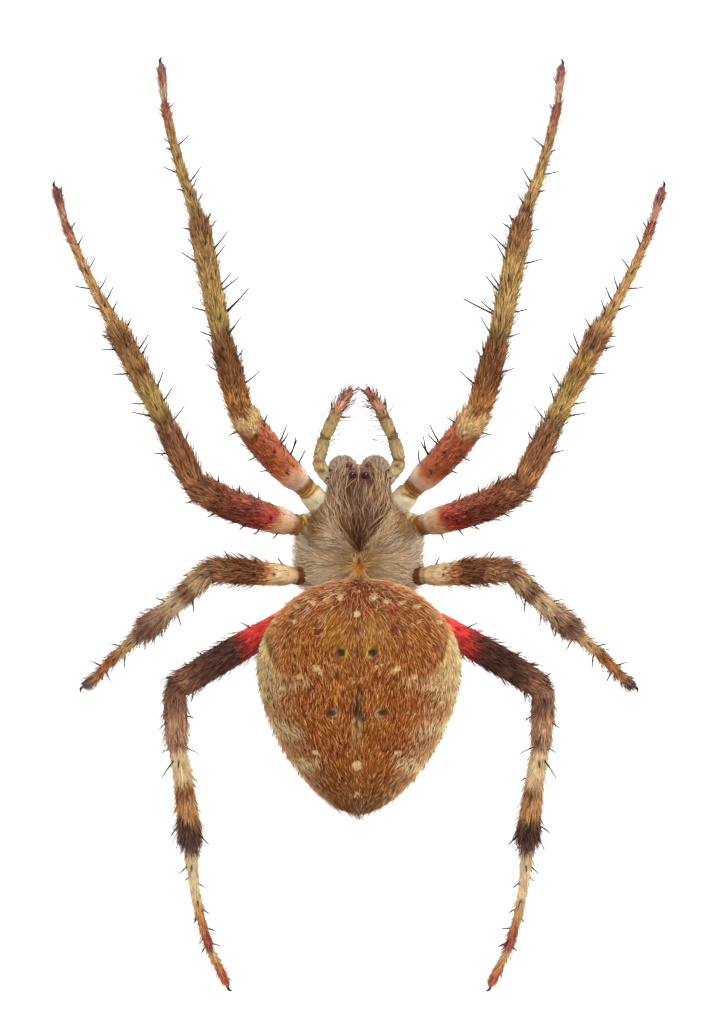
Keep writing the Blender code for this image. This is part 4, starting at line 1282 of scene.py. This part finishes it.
def furAbdomenTufts(made):  # close tufts of short cream setae that stand out of the coat
    roots = scatter(made, coatAbdomen["tufts"], 46, lambda place, v, u: (np.cos(2 * math.pi * u) > 0.0)
                    * (creamTufts(patternSide(place[:, 0]), place[:, 1] + 0.02) > 0.25), 110)
    draw, count = roots["draw"], len(roots["v"])
    lie = turned(roots, laid(roots, abdomenLie(roots["place"])), draw.normal(0, 0.55, count))
    length = draw.uniform(*coatAbdomen["tuftLength"], count)
    lift = np.radians(38 + draw.normal(0, 10, count))
    colour = mixed(plain("ffe4b4", count), linear("f6cc8c"), draw.uniform(0, 1, count))
    colour = colour * draw.uniform(0.80, 1.0, count)[:, None]
    uvs = patchUv(wholeMap, roots["v"], roots["u"])
    mesh = hairMesh("coatAbdomen_tufts", roots, lie, length, np.full(count, coatAbdomen["tuftWidth"]), lift,
                    np.full(count, 0.3), colour, uvs, (0.0, 0.5), draw.normal(0, 0.1, count))
    addCoat("coatAbdomen_tufts", mesh)


def furAbdomenFringe(made):  # longer setae: pale over the front, and dark ones round the sides and the tip
    pale = scatter(made, coatAbdomen["longSetae"], 43, lambda place, v, u: (np.cos(2 * math.pi * u) > -0.1)
                   * (0.02 + smooth(2.5, 1.5, place[:, 1])) * smooth(3.6, 2.4, place[:, 1]))
    dark = scatter(made, coatAbdomen["fringe"], 44, lambda place, v, u: np.maximum(
        smooth(0.35, 0.1, np.abs(np.cos(2 * math.pi * u))) * smooth(1.3, 2.4, place[:, 1]),
        smooth(5.9, 6.5, place[:, 1])))
    roots = joinRoots((pale, dark))
    draw, place = np.random.default_rng(45), roots["place"]
    count, longer = len(roots["v"]), np.arange(len(roots["v"])) < len(pale["v"])
    lie = turned(roots, laid(roots, abdomenLie(place)), draw.normal(0, 0.25, count))
    length = np.where(longer, draw.uniform(*coatAbdomen["longLength"], count),
                      draw.uniform(*coatAbdomen["fringeLength"], count))
    length = length * (1 + 0.5 * smooth(6.0, 6.6, place[:, 1]))
    width = np.where(longer, coatAbdomen["longWidth"], coatAbdomen["fringeWidth"])
    lift = np.radians(np.where(longer, 13.0, 38.0) + draw.normal(0, 6, count))
    colour = (np.where(longer[:, None], linear("ffdcb2"), linear("6e5034"))
              * draw.uniform(0.75, 1.0, count)[:, None])
    uvs = patchUv(wholeMap, roots["v"], roots["u"])
    mesh = hairMesh("coatAbdomen_long", roots, lie, length, width, lift,
                    np.where(longer, 0.5, 0.2), colour, uvs,
                    (0.0, 0.35, 0.7), draw.normal(0, 0.12, count), 0.87)
    addCoat("coatAbdomen_long", mesh)


coatCarapace = {
    "count": 6800, "headLength": (0.28, 0.52), "headWidth": 0.0140, "thoraxLength": (0.26, 0.46),
    "thoraxWidth": 0.0125,
    "lift": 12.0, "curl": 0.55,
}


def furCarapace(islands):
    made = islandNamed(islands, "carapace")

    def keep(place, v, u):
        x, y, _z = place.T
        facing = np.cos(2 * math.pi * u)
        bare = np.zeros(len(v))
        for pair, (eyeX, eyeY, radius, _top) in eyes.items():
            # strands hang over the front pair
            clear = {"eye_front_median": 0.25, "eye_rear_median": 1.0}.get(pair, 0.9)
            wide = 1.5 if pair == "eye_rear_median" else 1.0
            beside, behind = np.abs(np.abs(x) - eyeX) / radius, np.maximum(y - eyeY, 0)
            away = np.hypot(beside, np.minimum(y - eyeY, 0) / radius)  # clear round an eye, and behind it
            bare = np.maximum(bare, clear * smooth(1.45, 1.10, away / wide) * smooth(0.50, 0.36, behind))
        bare = np.maximum(bare, 0.92 * spot(x, y, (0, 0.95), (0.10, 0.20), 0.4))
        head = headShare(x, y)
        thin = 0.73 * head + 0.36 * (1 - head) * (facing > 0.1)
        patch = spot(np.abs(x), y, (0.98, -0.02), (0.15, 0.40), 0.5) * (1 - head)
        return (np.where(facing > -0.1, 1.0, 0.35) * (1 - bare) * (1 - thin)
                * (1 - 0.10 * head * headBand(x, y)) * (1 - 0.7 * patch))
    roots = scatter(made, coatCarapace["count"], 61, keep)
    draw, place = roots["draw"], roots["place"]
    count = len(roots["v"])
    x, y, _z = place.T
    aside = np.abs(x)
    head = headShare(x, y)
    radial = np.stack((x, y - carapace["foveaY"] - 0.12, np.zeros(count)), axis=1)
    # on the head they run forwards, along the edges of the wedge behind and straight in front
    splay = (np.sign(x) * 0.80 * smooth(-0.55, 0.0, y) * smooth(0.25, 0.95, aside / headEdge(y))
             - 0.22 * x * smooth(-0.4, -1.0, y))
    forward = np.stack((splay, -np.ones(count), np.zeros(count)), axis=1)
    wish = unit(radial) * (1 - head)[:, None] + unit(forward) * head[:, None]
    swirl = (0.28 + 0.04 * head) * ripple(place, 0.35, 63) + draw.normal(0, 0.16, count)
    lie = turned(roots, laid(roots, wish), swirl)
    length = draw.uniform(*coatCarapace["headLength"], count) * (1 - 0.40 * smooth(-0.9, -1.25, y))
    length = np.where(head > 0.5, length, draw.uniform(*coatCarapace["thoraxLength"], count))
    width = (np.where(head > 0.5, coatCarapace["headWidth"], coatCarapace["thoraxWidth"])
             * draw.uniform(0.7, 1.2, count))
    lift = np.radians(coatCarapace["lift"] + draw.normal(0, 5, count) + 12 * smooth(1.15, 1.35, aside)
                      + 5 * smooth(-1.0, -1.3, y))
    strand = mixed(plain("f6dcb8", count), linear("f4cea2"), head)
    strand = painted(strand, (
        ("f2e6d0", 0.7 * smooth(0.9, 1.2, aside)),
        ("9c6c28", 0.80 * blob(x, y, (0, 0.95), 0.30)),
        ("a47c48", 0.85 * spot(aside, y, (0.94, 0.03), (0.22, 0.46), 0.6) * (1 - head)),
    ))
    draft = draw.uniform(0, 1, count)
    # a thin scatter of bright strands over duller ones
    amount = np.where(draft < 0.62 - 0.14 * head, 0.92, np.where(draft < 0.82, 0.50, 0.10))
    amount = amount * (1 - 0.50 * headBand(x, y) * head)
    amount = amount * (1 - 0.50 * spot(aside, y, (0.94, 0.03), (0.20, 0.44), 0.5) * (1 - head))
    colour = (mixed(roots["colour"], strand, amount)
              * (draw.uniform(0.80, 1.15, count) * (1 - 0.07 * head))[:, None])
    uvs = patchUv(wholeMap, roots["v"], roots["u"])
    bend = draw.normal(0, 0.22, count)
    mesh = hairMesh("coatCarapace", roots, lie, length, width, lift,
                    np.full(count, coatCarapace["curl"]), colour, uvs, (0.0, 0.35, 0.7), bend)
    addCoat("coatCarapace", mesh)


coatLegs = {
    "perLeg": 9000, "length": (0.18, 0.33), "width": 0.0115, "lift": 7.5, "curl": 0.25, "darkShare": 0.22,
    "standing": 0.16, "standingLift": 31.0,  # the share that stands out further, and how far
    # share of the full coat along a leg: bare coxae and trochanters, then ever more
    "cover": ((0.0, 0.04), (1.9, 0.04), (2.0, 0.02), (2.22, 0.10), (2.40, 0.75), (2.8, 1.0), (7.0, 1.0)),
    # how much thinner it is on the femur
    "bareFemur": {"leg_1": 0.62, "leg_2": 0.15, "leg_3": 0.10, "leg_4": 0.10},
    # where setae stand up in ruffs round the limb: station, half width, extra lift and length
    "ruffs": {"leg_1": (), "leg_2": ((4.48, 0.05, 8, 0.2), (4.82, 0.08, 8, 0.2)),
              "leg_3": ((2.65, 0.15, 6, 0.1), (4.75, 0.12, 14, 0.35), (5.4, 0.08, 10, 0.3),
                        (5.9, 0.1, 10, 0.3)),
              "leg_4": ((4.82, 0.12, 12, 0.3), (5.88, 0.10, 8, 0.2))},
}


# how full the coat is along a leg, with a bare ring round each spine's socket
def legCover(made, place, station):
    nearest = np.linalg.norm(place[:, None] - made["sockets"][None], axis=2).min(1)
    thin = coatLegs["bareFemur"][made["leg"]] * smooth(2.85, 2.7, station)
    return np.interp(station, *np.array(coatLegs["cover"]).T) * (1 - thin) * smooth(0.03, 0.05, nearest)


def furLegs(islands):
    for leg in legNames:
        roots, uvs = pairedRoots(islands, leg, coatLegs["perLeg"], 70 + 2 * legNames.index(leg), legCover)
        draw = np.random.default_rng(90 + legNames.index(leg))
        count, station = len(roots["v"]), roots["station"]
        foot = smooth(5.0, 6.2, station)
        lie = turned(roots, roots["along"], draw.normal(0, 0.12, count))
        length = draw.uniform(*coatLegs["length"], count) * (1 - 0.36 * foot)
        standing = draw.uniform(0, 1, count) < coatLegs["standing"] * (1 + 0.5 * foot)
        lift = (np.where(standing, coatLegs["standingLift"], coatLegs["lift"])
                + draw.normal(0, 5, count) + 5 * foot)
        for middle, halfWidth, extraLift, extraLength in coatLegs["ruffs"][leg]:
            ruff = blob(station, 0, (middle, 0), halfWidth)
            lift = lift + extraLift * ruff
            length = length * (1 + extraLength * ruff)
        length = length * np.where(standing, 1.75, 1.0)
        width = coatLegs["width"] * draw.uniform(0.7, 1.25, count) * np.where(standing, 0.88, 1.0)
        dark = draw.uniform(0, 1, count) < coatLegs["darkShare"]
        pale = lighter(roots["colour"], 2.3) * 0.86 + linear("f4d0a4") * 0.14
        # few dark ones on pale bands
        darkness = (0.42 + 0.40 * smooth(0.25, 0.65, roots["colour"].max(axis=1)))[:, None]
        dull = np.where(standing[:, None], roots["colour"] * 0.55 + linear("6a4a38") * 0.25,
                        roots["colour"] * darkness)
        spread = draw.uniform(0.72, 1.38, count) + 0.20 * smooth(0.45, 0.80, roots["colour"].max(axis=1))
        colour = np.where(dark[:, None] | standing[:, None], dull, pale) * spread[:, None]
        mesh = hairMesh("coat_" + leg, roots, lie, length, width, np.radians(lift),
                        np.full(count, coatLegs["curl"]), colour,
                        uvs, (0.0, 0.5), draw.normal(0, 0.10, count), np.where(standing, 0.87, 0.50))
        addCoat("coat_" + leg, mesh)


coatPalps = {
    "count": 1000, "length": (0.09, 0.17), "width": 0.0085, "lift": 12.0, "curl": 0.3,
    # bristles, as station and length on the inner and the outer side
    "inner": ((2.3, 0.22), (2.55, 0.30), (2.8, 0.40), (2.97, 0.62), (3.04, 0.74), (3.2, 0.50), (3.42, 0.46),
              (3.55, 0.34), (3.72, 0.50), (3.86, 0.40), (3.95, 0.44), (4.1, 0.40), (4.2, 0.34), (4.35, 0.36),
              (4.5, 0.30)),
    "outer": ((2.1, 0.24), (2.6, 0.30), (2.9, 0.44), (2.98, 0.36), (3.1, 0.30), (3.35, 0.40), (3.6, 0.34),
              (3.78, 0.44), (3.92, 0.40), (4.05, 0.42), (4.2, 0.36), (4.35, 0.32), (4.5, 0.28)),
    "brush": 95, "brushLength": (0.18, 0.36), "bristleWidth": 0.017,
}


def furPalps(islands):
    roots, uvs = pairedRoots(islands, "palp", coatPalps["count"], 120)
    draw = np.random.default_rng(130)
    count = len(roots["v"])
    brush = smooth(0.74, 0.86, roots["v"])
    lie = turned(roots, roots["along"], draw.normal(0, 0.20, count))
    length = draw.uniform(*coatPalps["length"], count) * (1 + 0.5 * brush)
    lift = np.radians(coatPalps["lift"] + draw.normal(0, 7, count) + 8 * brush)
    dark = draw.uniform(0, 1, count) < 0.12
    pale = mixed(lighter(roots["colour"], 1.1), linear("f0d8ac"), np.full(count, 0.14))
    colour = np.where(dark[:, None], roots["colour"] * 0.55, pale)
    mesh = hairMesh("coatPalps", roots, lie, length, coatPalps["width"] * draw.uniform(0.8, 1.2, count), lift,
                    np.full(count, coatPalps["curl"]), colour, uvs, (0.0, 0.5), draw.normal(0, 0.1, count))
    addCoat("coatPalps", mesh)


def bristleRoots(made):  # where the bristles of a palp stand: two rows, and a brush round the last segment
    draw = np.random.default_rng(170)
    rows = [(station, 82.0, reach) for station, reach in coatPalps["inner"]]
    rows += [(station, 278.0, reach) for station, reach in coatPalps["outer"]]
    rows += [(draw.uniform(3.75, 4.92), draw.uniform(0, 360), draw.uniform(*coatPalps["brushLength"]))
             for _ in range(coatPalps["brush"])]
    station, angle, length = np.array(rows).T
    # the inner side of a palp is the one that faces the other palp
    u = (angle + draw.normal(0, 8, len(rows))) / 360
    return np.interp(station, made["limb"]["station"], made["limb"]["share"]), u, length


coatChelicerae = {"count": 1500, "length": (0.12, 0.26), "width": 0.014, "lift": 16.0, "curl": 0.5}


def furChelicerae(islands):
    roots, uvs = pairedRoots(islands, "chelicera", coatChelicerae["count"], 140)
    draw = np.random.default_rng(150)
    count = len(roots["v"])
    lie = turned(roots, laid(roots, np.tile((0.0, -0.9, -1.0), (count, 1))), draw.normal(0, 0.2, count))
    length = draw.uniform(*coatChelicerae["length"], count) * (1 - 0.35 * smooth(0.4, 0.8, roots["v"]))
    draft = draw.uniform(0, 1, count)
    cream = mixed(roots["colour"], linear("ecd0b0"), np.where(draft < 0.45, 0.85, 0.25))
    colour = cream * np.where(draft > 0.8, 0.55, 1.0)[:, None]
    lift = np.radians(coatChelicerae["lift"] + draw.normal(0, 6, count))
    mesh = hairMesh("coatChelicerae", roots, lie, length,
                    coatChelicerae["width"] * draw.uniform(0.8, 1.2, count), lift,
                    np.full(count, coatChelicerae["curl"]), colour, uvs, (0.0, 0.5),
                    draw.normal(0, 0.1, count))
    addCoat("coatChelicerae", mesh)


def buildSpines(islands):
    parts = []
    for leg in legNames:
        for name in sides:
            made = islandNamed(islands, leg, name)
            v, u, length = spineRoots(made["limb"])
            width = spine["width"] * (0.80 + 0.40 * length)
            lift = np.where(np.cos(2 * math.pi * u) > 0.7, spine["topLift"], spine["lift"])
            parts.append(rootsAt(made, v, u, {"length": length, "width": width, "lift": lift}))
    for name in sides:
        made = islandNamed(islands, "palp", name)
        v, u, length = bristleRoots(made)
        brush = v > 0.74
        width = coatPalps["bristleWidth"] * np.where(brush, 0.85, 1.0)
        parts.append(rootsAt(made, v, u,
                             {"length": length, "width": width, "lift": np.where(brush, 36.0, 62.0)}))
    roots = joinRoots(parts)
    count = len(roots["v"])
    draw = np.random.default_rng(180)
    lie = turned(roots, roots["along"], draw.normal(0, 0.10, count))
    lift = np.radians(roots["lift"] + draw.normal(0, 7, count))
    ruddy = roots["width"] < 0.02
    colour = (np.where(ruddy[:, None], linear("6e3c30"), linear("3c2a24"))
              * draw.uniform(0.75, 1.25, count)[:, None])
    uvs = patchUv(wholeMap, roots["v"], draw.uniform(0, 1, count))
    mesh = hairMesh("spines", roots, lie, roots["length"], roots["width"], lift,
                    np.full(count, spine["curl"]), colour, uvs,
                    (0.0, 0.3, 0.6, 0.94), draw.normal(0, 0.04, count), 0.87, 0.38)
    addCoat("spines", mesh, "tannedChitin")


eyeShape = {"rows": 18, "columns": 28, "lens": "2a1216", "frontLens": "5c2e24", "rim": "7a3428",
            "bulge": 1.06, "rearBulge": 1.42}


def buildEyes():
    islands, nodes = [], []
    for pair, (aside, along, radius, top) in eyes.items():
        for name, side in sides.items():
            middle = np.array((side * aside, along, top - radius))
            nodes.append("_".join((pair, name)))

            bulge = eyeShape["rearBulge" if pair == "eye_rear_median" else "bulge"]

            def place(v, u, middle=middle, radius=radius * bulge):
                polar, turn = math.pi * v, 2 * math.pi * u
                return (middle
                        + radius * np.stack((np.sin(polar) * np.cos(turn), np.sin(polar) * np.sin(turn),
                                             np.cos(polar)), axis=1))

            def paint(v, u, points, lens=eyeShape["frontLens" if pair == "eye_front_median" else "lens"]):
                return stops(("0 " + lens, "0.30 " + lens, "0.40 " + eyeShape["rim"], "1 2a1410"), v)
            index = len(islands)
            islands.append(island(nodes[-1], place, paint, eyeShape["rows"], eyeShape["columns"],
                                  (0.01 + index * 0.12, 0.01, 0.12 + index * 0.12, 0.99)))
    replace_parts(joinedPiece("eyes", islands, "clearLens"), *nodes)


fangShape = {
    "profile": ((0, 0.085), (0.3, 0.075), (0.7, 0.05), (1, 0.008)),
    "bands": ("0 2a0f0a", "0.6 3c120a", "1 6a2412"), "rings": 26, "sides": 14,
}


def buildFangs():  # each hangs down from the end of its chelicera and folds inwards
    islands = []
    for index, (name, side) in enumerate(sides.items()):
        low, high = corners("fang_" + name)
        outer, inner = (high[0], low[0]) if side > 0 else (low[0], high[0])
        points = [(outer - side * 0.09, low[1] + 0.10, high[2] + 0.04),
                  (outer - side * 0.10, low[1] + 0.10, low[2] + 0.17),
                  (outer - side * 0.17, (low[1] + high[1]) / 2, low[2] + 0.07),
                  (inner + side * 0.01, high[1] - 0.03, low[2] + 0.07)]
        made = limb(points, (0, 0.35, 0.6, 1), profiled(fangShape["profile"]), side, 0.05)
        islands.append(limbIsland("fang_" + name, made, plainPaint(fangShape["bands"]), fangShape["rings"],
                                  fangShape["sides"], (0.01 + index * 0.5, 0.01, 0.49 + index * 0.5, 0.99)))
    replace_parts(joinedPiece("fangs", islands, "polishedSclerotin"), "fang_left", "fang_right")


claw = {
    "reach": 0.155, "curve": 0.075, "spacing": 0.030, "girth": 0.021, "root": 0.05,
    "profile": ((0, 1.0), (0.3, 0.95), (0.7, 0.55), (1, 0.08)),
    "bands": ("0 2a1812", "0.4 120a08", "1 0c0605"), "rings": 16, "sides": 8,
}


# two side by side on each foot, curving to the front on legs 1 and 2 and to the rear on 3 and 4
def buildClaws(islands):
    made = []
    for leg in legNames:
        for name in sides:
            foot = islandNamed(islands, leg, name)["limb"]
            tip, run, front = foot["path"][-1] + shift, foot["run"][-1], foot["front"][-1]
            level = unit(run * np.array((1, 1, 0)))
            towards = front if leg in ("leg_1", "leg_2") else -front
            for pair in (-1, 1):
                start = (tip - level * claw["root"] + towards * (pair * claw["spacing"] / 2 - 0.02)
                         + upwards * 0.015)
                knee = (start + level * (claw["root"] + claw["reach"] * 0.45) - towards * 0.010
                        + upwards * 0.030)
                late = start + level * (claw["root"] + claw["reach"] * 0.82) + towards * claw["curve"] * 0.45
                point = start + level * (claw["root"] + claw["reach"] * 0.95) + towards * claw["curve"]
                late[2], point[2] = 0.035, 0.006
                hook = limb([start, knee, late, point], (0, 0.45, 0.8, 1),
                            profiled(claw["profile"], claw["girth"]), 1, 0.02)
                index = len(made)
                made.append(limbIsland("claw_%d" % index, hook, plainPaint(claw["bands"]), claw["rings"],
                                       claw["sides"], (0.01 + index * 0.06, 0.01, 0.06 + index * 0.06, 0.99)))
    joinedPiece("claws", made, "tannedChitin")


buildStudio(zeroY)
islands = skinIslands()
buildSkin(islands)
furAbdomen(islands)
furCarapace(islands)
furLegs(islands)
furPalps(islands)
furChelicerae(islands)
buildSpines(islands)
buildEyes()
buildFangs()
buildClaws(islands)
